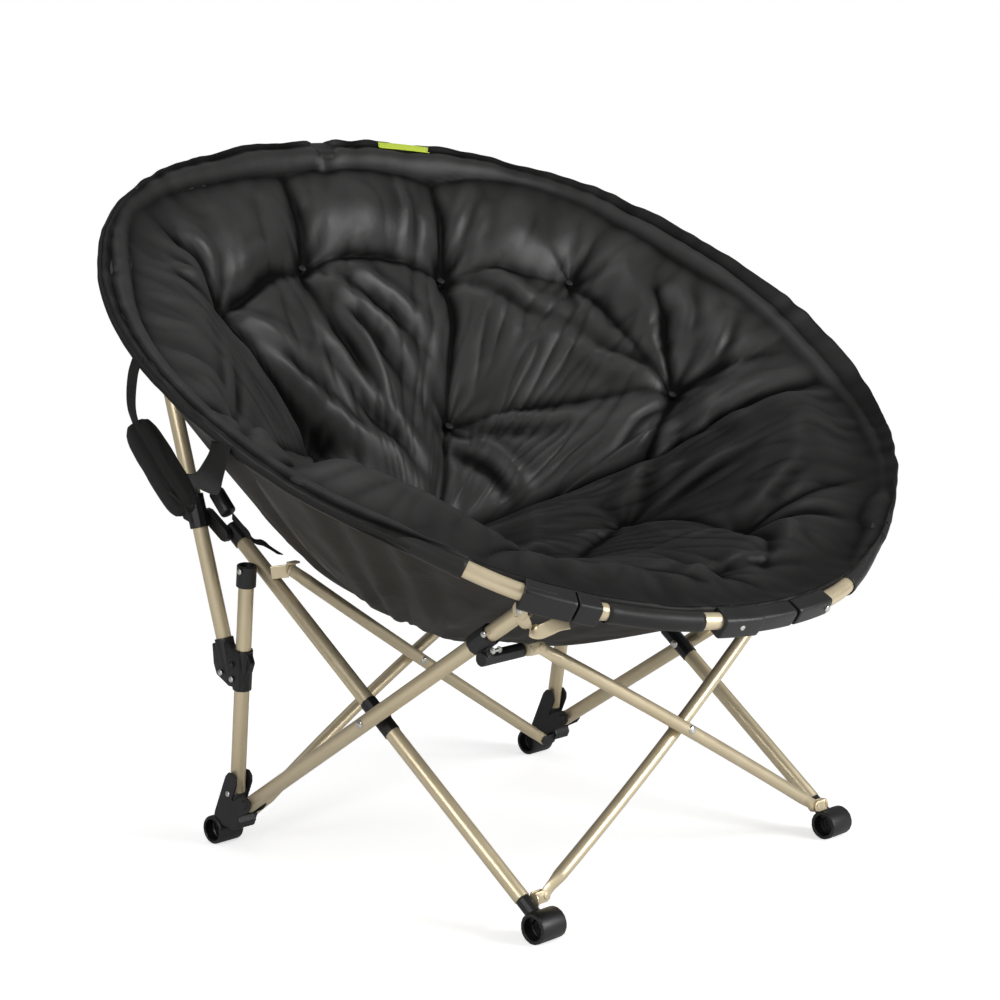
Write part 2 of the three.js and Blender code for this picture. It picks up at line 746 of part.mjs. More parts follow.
// The angle reached by walking a distance along the rim from an angle, towards another.
function rimWalk(start, end, distance) {
  return start + (end - start) * new RimArc(start, end).getUtoTmapping(0, distance);
}

const frontCorner = rimAngleAt(frontCornerX, rimLeft, rimFront);
const rearCorner = rimAngleAt(rearCornerX, (rimBack + rimLeft) / 2, rimBack);
const sideSplit = rimAngleAt(sideHingeX, rimLeft, rimFront);
const tubeStart = lugRadius * 2;
const tangentStep = 1;
const rimTangRadius = (rimRadius + rimBore) / 2;

// A round bar, or a tube when a bore is given, along the rim between two angles.
function rimSweep(start, end, radius, bore) {
  const path = new RimArc(start, end);
  const ring = new THREE.Shape();
  ring.absarc(0, 0, radius, 0, fullTurn, false);
  if (bore) {
    const hole = new THREE.Path();
    hole.absarc(0, 0, bore, 0, fullTurn, true);
    ring.holes.push(hole);
  }
  return new THREE.ExtrudeGeometry(ring, {
    steps: Math.ceil(path.getLength() / rimStep),
    curveSegments: rimSides / 2,
    extrudePath: path,
    bevelEnabled: false,
  });
}

// One arc of the rim: its hinge lies a pitch away from the corner, its far end short of the next arc.
function rimArc(name, corner, far, endGap, foldShare, lugSide) {
  const hingeAngle = rimWalk(corner, far, cornerPitch);
  const hinge = rimPoint(hingeAngle);
  const tip = rimPoint(far);
  const rest = toward(hinge, tip);
  const folded = vector(foldShare).normalize();
  const tangent = toward(hinge, rimPoint(rimWalk(hingeAngle, far, tangentStep)));
  const axis = new THREE.Vector3().crossVectors(tangent, folded.clone().sub(rest)).normalize();
  const startAngle = rimWalk(hingeAngle, far, tubeStart);
  const endAngle = rimWalk(far, hingeAngle, endGap);
  const entry = rimPoint(rimWalk(hingeAngle, far, tubeStart * 2));
  const tang = bar(hinge, entry, rimTangRadius, lugThickness, axis);
  const tube = rimSweep(startAngle, endAngle, rimRadius, rimBore);
  addPair(name, cut(joined(tube, tang), pinBore(hinge, axis, lugRadius * 2)), 'frame');
  addPivot(name, hinge, axis);
  const [from, to] = [rest, folded].map((p) => p.clone().projectOnPlane(axis));
  pivots[name].turn = from.angleTo(to) * Math.sign(axis.dot(from.cross(to)));
  const swing = Array.from({ length: swingSteps + 1 }, (_, step) => {
    const ahead = shifted(new THREE.Vector3(), tangent, coverRadius * 2);
    ahead.applyAxisAngle(axis, pivots[name].turn * step / swingSteps);
    const near = shifted(hinge, ahead.clone().normalize(), tubeStart - runningGap * 2);
    return rod(near, hinge.clone().add(ahead), rimRadius + runningGap * 4, rimSides);
  });
  return { hinge, axis: axis.clone().multiplyScalar(lugSide), startAngle, endAngle, swing };
}

// The lug beside an arc's tang, with the pin through it, and a neck that runs back to its bracket.
function lug(arc, core) {
  const seat = shifted(arc.hinge, arc.axis, lugThickness + runningGap);
  const run = core.clone().sub(seat);
  run.addScaledVector(arc.axis, -run.dot(arc.axis)).normalize();
  const neck = shifted(seat, run, lugRadius * 2);
  const pinEnd = shifted(arc.hinge, arc.axis, -(lugThickness / 2 + runningGap));
  return joined(
    bar(seat, neck, lugRadius, lugThickness, arc.axis),
    pin(seat, pinEnd),
    pin(pinEnd, shifted(pinEnd, arc.axis, -pinHeadHeight), pinHeadRadius),
    pin(neck, core, lugThickness),
  );
}

const gripLength = legEndOverhang / 2;

// The half shell over the rim tube between two half-widths, open below.
function coverShell(outer, inner) {
  const [start, end] = [outer, inner].map((x) => rimAngleAt(x, rimLeft, rimFront));
  const shell = rimSweep(start, end, coverRadius, coverBore);
  const middle = rimPoint((start + end) / 2);
  const room = new THREE.BoxGeometry(coverRadius * 8, coverRadius * 8, coverRadius * 2);
  room.translate(0, 0, -coverRadius);
  room.rotateX(rimTilt);
  room.translate(middle.x, middle.y, middle.z);
  return cut(shell, room);
}

// Rim ends: black fittings on the outer legs, covers that turn on them, and brackets on the rear posts.
function addRim() {
  const frontGap = hingeSleeveEnd + tangThickness;
  const frontArc = rimArc('rim_front', frontCorner, rimFront, frontGap, frontArcFoldShare, 1);
  const sideGap = sideHingeHalfGap;
  const sideFront = rimArc('rim_side_front', frontCorner, sideSplit, sideGap, sideFrontFoldShare, -1);
  const sideRear = rimArc('rim_side_rear', rearCorner, sideSplit, sideGap, sideRearFoldShare, -1);
  const rearArc = rimArc('rim_rear', rearCorner, rimBack, rearHingeHalfGap, rearArcFoldShare, 1);

  const legEnd = shifted(outerHead, outerRun, legEndOverhang);
  const plugRadius = legBore - runningGap;
  const [coverWide, coverNarrow] = coverSpan;
  const shellInside = (x) => {
    const centre = rimLocal(rimAngleAt(x, rimLeft, rimFront));
    return fromRimPlane(centre.add(vector([0, coverRadius + coverSplit / 2, 0])));
  };
  const legTop = shifted(legEnd, outerRun, legRadius);
  const sideSeat = shellInside((coverWide + frontCornerX) / 2);
  addPair('rim_fitting', cut(joined(
    rod(shifted(legEnd, outerRun, -gripLength), legEnd, plugRadius),
    rod(legEnd, legTop, plugRadius),
    lug(sideFront, legTop),
    coverShell(coverWide, frontCornerX + coverSplit / 2),
    pin(legTop, sideSeat, tangThickness),
  ), ...sideFront.swing.slice(1)), 'plastic');

  const armX = outerHead.x + legRadius + runningGap + lugThickness / 2;
  const armPin = vector([armX, outerHead.y, outerHead.z]);
  const armSeat = shellInside(-armX);
  const head = shifted(outerHead, xAxis, -(legRadius + runningGap));
  addPair('rim_cover', cut(joined(
    coverShell(frontCornerX - coverSplit / 2, coverNarrow),
    bar(armPin, armSeat, lugThickness, lugThickness, xAxis),
    pin(armPin, head),
    pin(head, shifted(head, xAxis, -pinHeadHeight), pinHeadRadius),
    lug(frontArc, armSeat),
  ), ...frontArc.swing.slice(1)), 'plastic');

  const postRun = toward(upperFoot, upperHead);
  const postTop = shifted(upperHead, postRun, legRadius);
  addPair('rear_rim_bracket', cut(joined(
    rod(shifted(upperHead, postRun, -legRadius), upperHead, plugRadius),
    rod(upperHead, postTop, legRadius),
    lug(sideRear, postTop),
    lug(rearArc, postTop),
  ), ...rearArc.swing.slice(-1), ...sideRear.swing.slice(-1)), 'plastic');
  return frontArc;
}

// Front centre hinge: a forked sleeve on the left arc and a tang on the right one.
function addFrontHinge(arc) {
  const at = (x) => rimPoint(rimAngleAt(x, rimLeft, rimFront));
  const middle = rimPoint(rimFront);
  const normal = fromRimPlane(vector([0, 0, 1])).sub(fromRimPlane(new THREE.Vector3()));
  const flip = (p) => vector([-p.x, p.y, p.z]);
  const boxOuter = at(hingeBoxOuter);
  const boxInner = at(hingeBoxInner);
  const boxRun = toward(boxOuter, boxInner);
  const half = hingeBoxSize / 2;
  const box = new THREE.BoxGeometry(hingeBoxSize, boxOuter.distanceTo(boxInner), hingeBoxSize);
  box.applyMatrix4(new THREE.Matrix4().makeBasis(
    new THREE.Vector3().crossVectors(boxRun, normal).normalize(), boxRun, normal,
  ));
  const boxMiddle = between(boxOuter, boxInner, 1 / 2);
  box.translate(boxMiddle.x, boxMiddle.y, boxMiddle.z);
  const forkTip = vector([hingeForkTip, middle.y, middle.z]);
  const slotBottom = vector([-hingeSlotBottom, middle.y, middle.z]);
  const slotEnd = shifted(forkTip, xAxis, half);
  const slot = bar(slotBottom, slotEnd, hingeBoxSize, hingeTang + runningGap * 2, normal);
  const slotTrim = block([hingeBoxSize * 2, hingeBoxSize * 2, hingeBoxSize * 2],
    shifted(slotBottom, xAxis, -hingeBoxSize));
  const room = rimRadius + hingeBoreRoom;
  const tubeEnd = rimPoint(arc.endAngle);
  const endRoom = shifted(tubeEnd, toward(at(hingeBoxInner), middle), runningGap * 2);
  const bore = joined(rimSweep(arc.startAngle, arc.endAngle, room), rod(tubeEnd, endRoom, room, rimSides));
  addPiece('front_hinge_left', cut(
    joined(box, rod(boxInner, forkTip, hingeSleeveRadius)), cut(slot, slotTrim), bore,
  ), 'plastic');
  const outer = flip(boxInner);
  const inner = vector([hingeSleeveEnd, middle.y, middle.z]);
  const tangTip = vector([hingeTangWidth / 2 - hingeTangTip, middle.y, middle.z]);
  addPiece('front_hinge_right', cut(joined(
    rod(outer, inner, hingeSleeveRadius), bar(tangTip, inner, hingeTangWidth / 2, hingeTang, normal),
  ), mirrored(bore)), 'plastic');
}

// Saucer surfaces, measured down from the rim's own plane.
const bowlDrop = (share) => bowlDepth * (1 - share ** bowlFlatness) ** bowlFullness;

function saucerPoint(angle, share, rise) {
  const place = rimLocal(angle).multiplyScalar(share);
  place.z += rise;
  return fromRimPlane(place);
}

// A closed skin of rings between two poles.
function ringed(rings, start, end, sides) {
  const places = [start];
  rings.forEach((ring) => {
    for (let side = 0; side < sides; side += 1) places.push(ring(fullTurn * side / sides));
  });
  places.push(end);
  const last = places.length - 1;
  const corners = [];
  for (let side = 0; side < sides; side += 1) {
    const next = (side + 1) % sides;
    corners.push(0, 1 + side, 1 + next);
    for (let row = 1; row < rings.length; row += 1) {
      const [low, high] = [1 + (row - 1) * sides, 1 + row * sides];
      corners.push(low + side, high + side, high + next, low + side, high + next, low + next);
    }
    const top = 1 + (rings.length - 1) * sides;
    corners.push(last, top + next, top + side);
  }
  const geometry = new THREE.BufferGeometry();
  geometry.setAttribute('position', new THREE.Float32BufferAttribute(places.flatMap((p) => p.toArray()), 3));
  geometry.setIndex(corners);
  return geometry;
}

const tufts = tuftRings.flatMap(({ share, count, turnShare }) => Array.from({ length: count }, (_, i) => {
  const angle = fullTurn * (turnShare + i / count);
  return rimLocal(angle).multiplyScalar(share).setZ(0);
}));

function cushionThicknessAt(angle, share) {
  const flat = rimLocal(angle).multiplyScalar(share).setZ(0);
  const dips = tufts.map((tuft) => Math.exp(-((flat.distanceTo(tuft) / tuftRadius) ** 2)));
  const pleats = pleatDepth * share * (1 - share) * Math.cos(angle * bowlFolds * 2);
  const body = cushionSideThickness + (cushionThickness - cushionSideThickness) * (1 - share * share);
  return body - tuftDepth * dips.reduce((sum, dip) => sum + dip, 0) + pleats;
}

function addSaucer() {
  const fold = (angle, share) => bowlFoldDepth * share * (1 - share) * Math.cos(angle * bowlFolds);
  const outer = (share) => (angle) => saucerPoint(angle, share, -bowlDrop(share) + fold(angle, share));
  const inner = (share, lift) => (angle) => (
    saucerPoint(angle, share, -bowlDrop(share) + fold(angle, share) + bowlThickness + lift)
  );
  const bowlRings = [...bowlRowShares, bowlEdgeShare];
  addPiece('outer_bowl', ringed(
    [...bowlRings.map(outer), ...bowlRings.toReversed().map((share) => inner(share, 0))],
    saucerPoint(0, 0, -bowlDepth), saucerPoint(0, 0, -bowlDepth + bowlThickness), saucerSides,
  ), 'cloth');

  const edgeOut = 1 + cushionEdgeOut / rimHalfWidth;
  const top = (share) => (angle) => saucerPoint(angle, share,
    -bowlDrop(share) + fold(angle, share) + bowlThickness + cushionGap + cushionThicknessAt(angle, share));
  const ledge = (share, rise) => (angle) => saucerPoint(angle, share, rise);
  const edgeTop = cushionEdgeRise + cushionEdgeHeight;
  addPiece('cushion', ringed(
    [
      ...topRowShares.map(top),
      ledge(1, edgeTop), ledge(edgeOut, cushionEdgeRise + cushionEdgeHeight / 2), ledge(1, cushionEdgeRise),
      ledge(bowlEdgeShare, cushionEdgeRise),
      ...bowlRings.toReversed().map((share) => inner(share, cushionGap)),
    ],
    saucerPoint(0, 0, -bowlDepth + bowlThickness + cushionGap + cushionThickness),
    saucerPoint(0, 0, -bowlDepth + bowlThickness + cushionGap), saucerSides,
  ), 'cushion');
}

// The place against the inside of the rim tube, at a depth along the chair's left side.
function insideRim(depth, thickness, room) {
  let [back, front] = [rimBack, rimFront];
  for (let turn = 0; turn < 40; turn += 1) {
    const middle = (back + front) / 2;
    if (rimPoint(middle).y > depth) back = middle;
    else front = middle;
  }
  return shifted(rimPoint((back + front) / 2), xAxis, rimRadius + room + thickness / 2);
}

function addPouch() {
  const centre = left(pouchCentre);
  const pad = block(pouchSize, new THREE.Vector3());
  pad.rotateX(pouchLean);
  pad.translate(centre.x, centre.y, centre.z);
  const [thickness, width] = pouchStrap;
  const strapTop = insideRim(centre.y, thickness, strapRoom[0]);
  const rise = strapTop.z - centre.z;
  const strap = block([thickness, width, rise], vector([strapTop.x, centre.y, centre.z + rise / 2]));
  addPiece('pouch_left', joined(pad, strap), 'cloth');
  const [deep, wide] = strapSection;
  const start = insideRim(strapDepth, deep, strapRoom[1]);
  const route = strapFall.map(([inward, back, down]) => start.clone().add(vector([inward, back, -down])));
  const path = new THREE.CatmullRomCurve3([start, ...route]);
  const section = new THREE.Shape();
  section.moveTo(-deep / 2, -wide / 2);
  section.lineTo(deep / 2, -wide / 2);
  section.lineTo(deep / 2, wide / 2);
  section.lineTo(-deep / 2, wide / 2);
  section.closePath();
  addPiece('side_strap_left', new THREE.ExtrudeGeometry(section, {
    steps: strapSteps, extrudePath: path, bevelEnabled: false,
  }), 'cloth');
}

addLegs();
addFrontFeet();
addPair('rear_foot', footRoller(rearFoot), 'plastic');
addPiece('rear_bracket_left', rearBracket(-1, -1), 'plastic');
addPiece('rear_bracket_right', rearBracket(1, 1), 'plastic');
addPosts();
addPiece('post_cap_left', postCap(-1, 1), 'plastic');
addPiece('post_cap_right', postCap(1, -1), 'plastic');
addPiece('rear_top_clevis_left', rearTopClevis(-1, 1), 'frame');
addPiece('rear_top_clevis_right', rearTopClevis(1, -1), 'frame');
addCollars();
addClamps();
addPiece('front_clevis_left', frontClevis(-1, -1), 'frame');
addPiece('front_clevis_right', frontClevis(1, 1), 'frame');
addPiece('front_top_clevis_left', frontTopClevis(-1, 1), 'frame');
addPiece('front_top_clevis_right', frontTopClevis(1, -1), 'frame');
addBracePair('front_brace', frontBraceTop, frontBraceBottom, frontPlane, frontBraceBow, 1);
addBracePair('rear_brace', rearBraceTop, rearBraceBottom, rearPlane, -rearBraceBow, 1);
addFrontHinge(addRim());
addSaucer();
addPouch();

addPivot('front_clevis', neckPin, xAxis);
addPivot('front_brace_foot', bracePivot(frontBraceBottom, -1, frontPlane, -1), frontPlane.facing);
addPivot('front_top_clevis', vector([-clevisEarX, frontBraceTop[1], frontBraceTop[2]]), xAxis);
addPivot('rear_brace_foot', bracePivot(rearBraceBottom, -1, rearPlane, -1), rearPlane.facing);
addPivot('rear_bracket_right', bracePivot(rearBraceBottom, 1, rearPlane, 1), rearPlane.facing);
chair.userData.pivots = pivots;

export default chair;
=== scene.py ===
"""Folding saucer chair: the looks of a padded saucer in an oval rim on a scissor frame of round tubes."""

from __future__ import annotations

import json
import logging
import math
from dataclasses import dataclass, field
from enum import Enum

import bmesh
import bpy
import numpy as np
from mathutils import Matrix, Vector, noise

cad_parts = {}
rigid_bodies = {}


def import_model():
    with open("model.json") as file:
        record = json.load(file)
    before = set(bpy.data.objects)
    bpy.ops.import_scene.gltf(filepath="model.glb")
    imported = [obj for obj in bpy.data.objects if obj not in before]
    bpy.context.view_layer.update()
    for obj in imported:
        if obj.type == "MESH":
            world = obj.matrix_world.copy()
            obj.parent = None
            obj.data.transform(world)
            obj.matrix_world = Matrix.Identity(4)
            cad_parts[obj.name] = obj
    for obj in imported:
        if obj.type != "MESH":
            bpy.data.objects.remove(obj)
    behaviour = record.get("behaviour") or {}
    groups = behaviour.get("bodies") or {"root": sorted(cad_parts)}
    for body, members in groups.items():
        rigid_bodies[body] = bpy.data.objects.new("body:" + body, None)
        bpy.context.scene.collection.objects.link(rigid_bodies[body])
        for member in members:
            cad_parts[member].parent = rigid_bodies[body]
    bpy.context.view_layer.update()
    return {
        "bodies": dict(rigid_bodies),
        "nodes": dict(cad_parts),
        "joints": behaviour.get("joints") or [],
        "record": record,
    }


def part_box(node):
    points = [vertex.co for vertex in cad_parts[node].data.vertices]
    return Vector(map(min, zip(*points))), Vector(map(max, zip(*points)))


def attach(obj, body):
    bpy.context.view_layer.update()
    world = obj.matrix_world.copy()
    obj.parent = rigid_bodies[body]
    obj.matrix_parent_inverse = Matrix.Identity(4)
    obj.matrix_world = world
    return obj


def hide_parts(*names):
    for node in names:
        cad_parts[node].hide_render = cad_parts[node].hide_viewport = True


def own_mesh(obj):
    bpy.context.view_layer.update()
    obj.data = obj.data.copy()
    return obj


LOG = logging.getLogger("saucer_chair")
MM = 0.001
FULL_TURN = 2 * math.pi
# Even level of painted shade for cushion-cloth pieces that have no painted folds of their own.
PLAIN_PAINTED_SHADE = 0.45


class Side(Enum):
    """The chair's two sides, by the sign of X."""

    LEFT = -1
    RIGHT = 1

    @property
    def word(self) -> str:
        """The side's name as it ends a node's name."""
        return self.name.lower()

    def place(self, x: float, y: float, z: float) -> Vector:
        """A point in metres from a half-width, a depth and a height in millimetres."""
        return Vector((self.value * x, y, z)) * MM


class Finish(Enum):
    """The finishes of the chair and the record's slot of each."""

    GOLD = "frame"
    ZINC = "zinc"
    PLASTIC = "plastic"
    CUSHION = "cushion"
    BOWL = "cloth"
    WEBBING = "cloth "
    TAG = "cushion "

    @property
    def slot(self) -> str:
        """The record's material slot."""
        return self.value.strip()


@dataclass
class NodePen:
    """Short hand for building one node tree."""

    tree: bpy.types.NodeTree

    def add(self, kind: str, inputs: dict | None = None, **settings: object) -> bpy.types.Node:
        """Adds a node.

        Args:
            kind: the node's type name.
            inputs: socket names with a value or an output socket each.
            settings: the node's own properties.

        Returns:
            The new node.
        """
        node = self.tree.nodes.new(kind)
        for key, value in settings.items():
            setattr(node, key, value)
        for key, value in (inputs or {}).items():
            socket = node.inputs[key]
            if isinstance(value, bpy.types.NodeSocket):
                self.tree.links.new(value, socket)
            else:
                socket.default_value = value
        return node

    def math(self, operation: str, first: object, second: object = 0.0) -> bpy.types.NodeSocket:
        """Adds a Math node and returns its output."""
        return self.add("ShaderNodeMath", {0: first, 1: second}, operation=operation).outputs[0]

    def mix(self, share: object, first: object, second: object) -> bpy.types.NodeSocket:
        """Mixes two colours by a share and returns the colour."""
        node = self.add("ShaderNodeMix", data_type="RGBA")
        for index, value in ((0, share), (6, first), (7, second)):
            if isinstance(value, bpy.types.NodeSocket):
                self.tree.links.new(value, node.inputs[index])
            else:
                node.inputs[index].default_value = value
        return node.outputs[2]


def new_group(name: str, inputs: dict[str, float], outputs: dict[str, str]) -> tuple:
    """Makes an empty node group.

    Args:
        name: the group's name.
        inputs: input names with their default values.
        outputs: output names with their socket types.

    Returns:
        The group, a pen on it, its input node and its output node.
    """
    group = bpy.data.node_groups.new(name, "ShaderNodeTree")
    group.interface.new_socket("Vector", in_out="INPUT", socket_type="NodeSocketVector")
    for key, value in inputs.items():
        group.interface.new_socket(key, in_out="INPUT", socket_type="NodeSocketFloat").default_value = value
    for key, kind in outputs.items():
        group.interface.new_socket(key, in_out="OUTPUT", socket_type=kind)
    pen = NodePen(group)
    return group, pen, pen.add("NodeGroupInput"), pen.add("NodeGroupOutput")


def weave_group() -> bpy.types.NodeTree:
    """A plain weave: two crossed sets of threads with slubs, as a height and a tone."""
    group, pen, given, made = new_group(
        "plain_weave", {"Threads": 900.0, "Slub": 0.5},
        {"Height": "NodeSocketFloat", "Tone": "NodeSocketFloat"},
    )
    wobble = pen.add("ShaderNodeTexNoise", {"Vector": given.outputs["Vector"], "Scale": 34.0, "Detail": 2.0})
    parts = pen.add("ShaderNodeSeparateXYZ", {"Vector": given.outputs["Vector"]})
    waves = []
    for axis in ("X", "Y"):
        along = pen.math("MULTIPLY", parts.outputs[axis], given.outputs["Threads"])
        bent = pen.math("ADD", along, pen.math("MULTIPLY", wobble.outputs["Fac"], 4.0))
        waves.append(pen.math("SINE", bent))
    product = pen.math("MULTIPLY", waves[0], waves[1])
    slubs = pen.add("ShaderNodeTexNoise", {"Vector": given.outputs["Vector"], "Scale": 420.0, "Detail": 3.0})
    height = pen.math("ADD", product, pen.math("MULTIPLY", slubs.outputs["Fac"], given.outputs["Slub"]))
    pen.tree.links.new(height, made.inputs["Height"])
    pen.tree.links.new(pen.math("MULTIPLY_ADD", product, 0.5), made.inputs["Tone"])
    return group


def grain_group() -> bpy.types.NodeTree:
    """A fine moulded or sprayed grain with slow changes of tone, as a height and a mask."""
    group, pen, given, made = new_group(
        "fine_grain", {"Grain": 900.0, "Cloud": 20.0},
        {"Height": "NodeSocketFloat", "Mask": "NodeSocketFloat"},
    )
    fine = pen.add("ShaderNodeTexNoise", {
        "Vector": given.outputs["Vector"], "Scale": given.outputs["Grain"], "Detail": 4.0,
    })
    slow = pen.add("ShaderNodeTexNoise", {
        "Vector": given.outputs["Vector"], "Scale": given.outputs["Cloud"], "Detail": 5.0, "Roughness": 0.6,
    })
    pen.tree.links.new(fine.outputs["Fac"], made.inputs["Height"])
    mask = pen.add("ShaderNodeMapRange", {"Value": slow.outputs["Fac"], "From Min": 0.35, "From Max": 0.68})
    pen.tree.links.new(mask.outputs["Result"], made.inputs["Mask"])
    return group


@dataclass(frozen=True)
class ClothFinish:
    """A woven cloth: its colours, shine, threads and small wrinkles, and whether painted shade darkens its
    folds.
    """

    dark: tuple[float, float, float]
    light: tuple[float, float, float]
    roughness: float
    threads: float
    weave_height: float
    wrinkle_scale: float
    wrinkle_height: float
    sheen: float = 0.1
    specular: float = 0.3
    # Whether painted shade from a vertex attribute darkens the cloth.
    relief: bool = False

    def dress(self, name: str, weave: bpy.types.NodeTree, grain: bpy.types.NodeTree) -> bpy.types.Material:
        """Makes the cloth's material on the piece's UV map, with painted shade from a vertex attribute where
        the cloth has it.

        Args:
            name: the material's name.
            weave: the weave group.
            grain: the grain group.

        Returns:
            The material.
        """
        material, pen, shader = start_material(name)
        place = pen.add("ShaderNodeTexCoord")
        cloth = pen.add("ShaderNodeGroup", node_tree=weave)
        pen.tree.links.new(place.outputs["UV"], cloth.inputs["Vector"])
        cloth.inputs["Threads"].default_value = self.threads
        cloud = pen.add("ShaderNodeGroup", node_tree=grain)
        pen.tree.links.new(place.outputs["Object"], cloud.inputs["Vector"])
        cloud.inputs["Cloud"].default_value = 7.0
        wrinkles = pen.add("ShaderNodeTexNoise", {
            "Vector": place.outputs["Object"], "Scale": self.wrinkle_scale, "Detail": 5.0, "Distortion": 0.8,
        })
        tone = pen.math("MULTIPLY_ADD", cloth.outputs["Tone"], 0.35)
        share = pen.math("ADD", tone, pen.math("MULTIPLY", cloud.outputs["Mask"], 0.5))
        colour = pen.mix(share, (*self.dark, 1.0), (*self.light, 1.0))
        shader.inputs["Specular IOR Level"].default_value = self.specular
        # Painted shade: a vertex attribute that is low in folds, on the seat and on the hem darkens the base
        # colour towards near black and scales the specular level.
        if self.relief:
            mark = pen.add("ShaderNodeAttribute", attribute_name="relief")
            shade = pen.add("ShaderNodeMapRange", {
                "Value": mark.outputs["Fac"], "From Min": 0.08, "From Max": 0.75,
                "To Min": 0.10, "To Max": 1.15,
            })
            shaded_specular = pen.math("MULTIPLY", shade.outputs["Result"], self.specular)
            pen.tree.links.new(shaded_specular, shader.inputs["Specular IOR Level"])
            # The near-black colour is the painted shade's colour.
            colour = pen.mix(shade.outputs["Result"], (0.0012, 0.0011, 0.0010, 1.0), colour)
        pen.tree.links.new(colour, shader.inputs["Base Color"])
        rough = pen.add("ShaderNodeMapRange", {
            "Value": cloud.outputs["Mask"], "To Min": self.roughness - 0.05, "To Max": self.roughness + 0.07,
        })
        pen.tree.links.new(rough.outputs["Result"], shader.inputs["Roughness"])
        soft = pen.add("ShaderNodeBump", {
            "Strength": 0.55, "Distance": self.wrinkle_height, "Height": wrinkles.outputs["Fac"],
        })
        bump = pen.add("ShaderNodeBump", {
            "Strength": 0.5, "Distance": self.weave_height, "Height": cloth.outputs["Height"],
            "Normal": soft.outputs["Normal"],
        })
        pen.tree.links.new(bump.outputs["Normal"], shader.inputs["Normal"])
        shader.inputs["Sheen Weight"].default_value = self.sheen
        shader.inputs["Sheen Roughness"].default_value = 0.4
        return material


@dataclass(frozen=True)
class HardFinish:
    """A painted, plated or moulded finish: its colours, metal, shine and grain."""

    base: tuple[float, float, float]
    worn: tuple[float, float, float]
    metallic: float
    roughness: float
    grain: float
    grain_height: float
    coat: float = 0.0

    def dress(self, name: str, grain: bpy.types.NodeTree) -> bpy.types.Material:
        """Makes the material on Object coordinates.

        Args:
            name: the material's name.
            grain: the grain group.

        Returns:
            The material.
        """
        material, pen, shader = start_material(name)
        place = pen.add("ShaderNodeTexCoord")
        skin = pen.add("ShaderNodeGroup", node_tree=grain)
        pen.tree.links.new(place.outputs["Object"], skin.inputs["Vector"])
        skin.inputs["Grain"].default_value = self.grain
        share = pen.math("MULTIPLY", skin.outputs["Mask"], 0.6)
        pen.tree.links.new(pen.mix(share, (*self.base, 1.0), (*self.worn, 1.0)), shader.inputs["Base Color"])
        rough = pen.add("ShaderNodeMapRange", {
            "Value": skin.outputs["Mask"], "To Min": self.roughness - 0.04, "To Max": self.roughness + 0.06,
        })
        pen.tree.links.new(rough.outputs["Result"], shader.inputs["Roughness"])
        bump = pen.add("ShaderNodeBump", {
            "Strength": 0.35, "Distance": self.grain_height, "Height": skin.outputs["Height"],
        })
        pen.tree.links.new(bump.outputs["Normal"], shader.inputs["Normal"])
        shader.inputs["Metallic"].default_value = self.metallic
        shader.inputs["Coat Weight"].default_value = self.coat
        return material


def start_material(name: str) -> tuple[bpy.types.Material, NodePen, bpy.types.Node]:
    """Makes a node material and returns it with a pen and its shader."""
    material = bpy.data.materials.new(name)
    material.use_nodes = True
    return material, NodePen(material.node_tree), material.node_tree.nodes["Principled BSDF"]


class Paintbox:
    """All finishes of the chair, each made once."""

    def __init__(self) -> None:
        """Builds the shared groups and the materials."""
        weave = weave_group()
        grain = grain_group()
        gold = HardFinish(
            base=(0.68, 0.575, 0.385), worn=(0.74, 0.635, 0.44), metallic=0.62, roughness=0.38,
            grain=1500.0, grain_height=0.00003, coat=0.15,
        )
        zinc = HardFinish(
            base=(0.62, 0.61, 0.58), worn=(0.75, 0.74, 0.70), metallic=1.0, roughness=0.3,
            grain=900.0, grain_height=0.00003,
        )
        plastic = HardFinish(
            base=(0.0065, 0.0065, 0.007), worn=(0.011, 0.011, 0.012), metallic=0.0, roughness=0.42,
            grain=1300.0, grain_height=0.00006,
        )
        cushion = ClothFinish(
            dark=(0.0165, 0.0158, 0.0154), light=(0.0275, 0.0264, 0.0257), roughness=0.44,
            threads=2400.0, weave_height=0.00009, wrinkle_scale=24.0, wrinkle_height=0.0016,
            sheen=0.02, specular=0.32, relief=True,
        )
        bowl = ClothFinish(
            dark=(0.0136, 0.0116, 0.0084), light=(0.0216, 0.0188, 0.014), roughness=0.62,
            threads=2400.0, weave_height=0.0001, wrinkle_scale=14.0, wrinkle_height=0.003,
            sheen=0.03, specular=0.15,
        )
        webbing = ClothFinish(
            dark=(0.009, 0.0088, 0.0085), light=(0.016, 0.0155, 0.015), roughness=0.7,
            threads=3000.0, weave_height=0.0003, wrinkle_scale=20.0, wrinkle_height=0.001,
            sheen=0.02, specular=0.15,
        )
        tag = ClothFinish(
            dark=(0.36, 0.47, 0.03), light=(0.52, 0.64, 0.06), roughness=0.6,
            threads=2600.0, weave_height=0.0001, wrinkle_scale=20.0, wrinkle_height=0.0005,
        )
        self.of = {
            Finish.GOLD: gold.dress("champagne_paint", grain),
            Finish.ZINC: zinc.dress("zinc_plate", grain),
            Finish.PLASTIC: plastic.dress("black_moulding", grain),
            Finish.CUSHION: cushion.dress("satin_polyester", weave, grain),
            Finish.BOWL: bowl.dress("bowl_polyester", weave, grain),
            Finish.WEBBING: webbing.dress("ribbed_webbing", weave, grain),
            Finish.TAG: tag.dress("bare_tag_cloth", weave, grain),
        }


PIECES: list[bpy.types.Object] = []


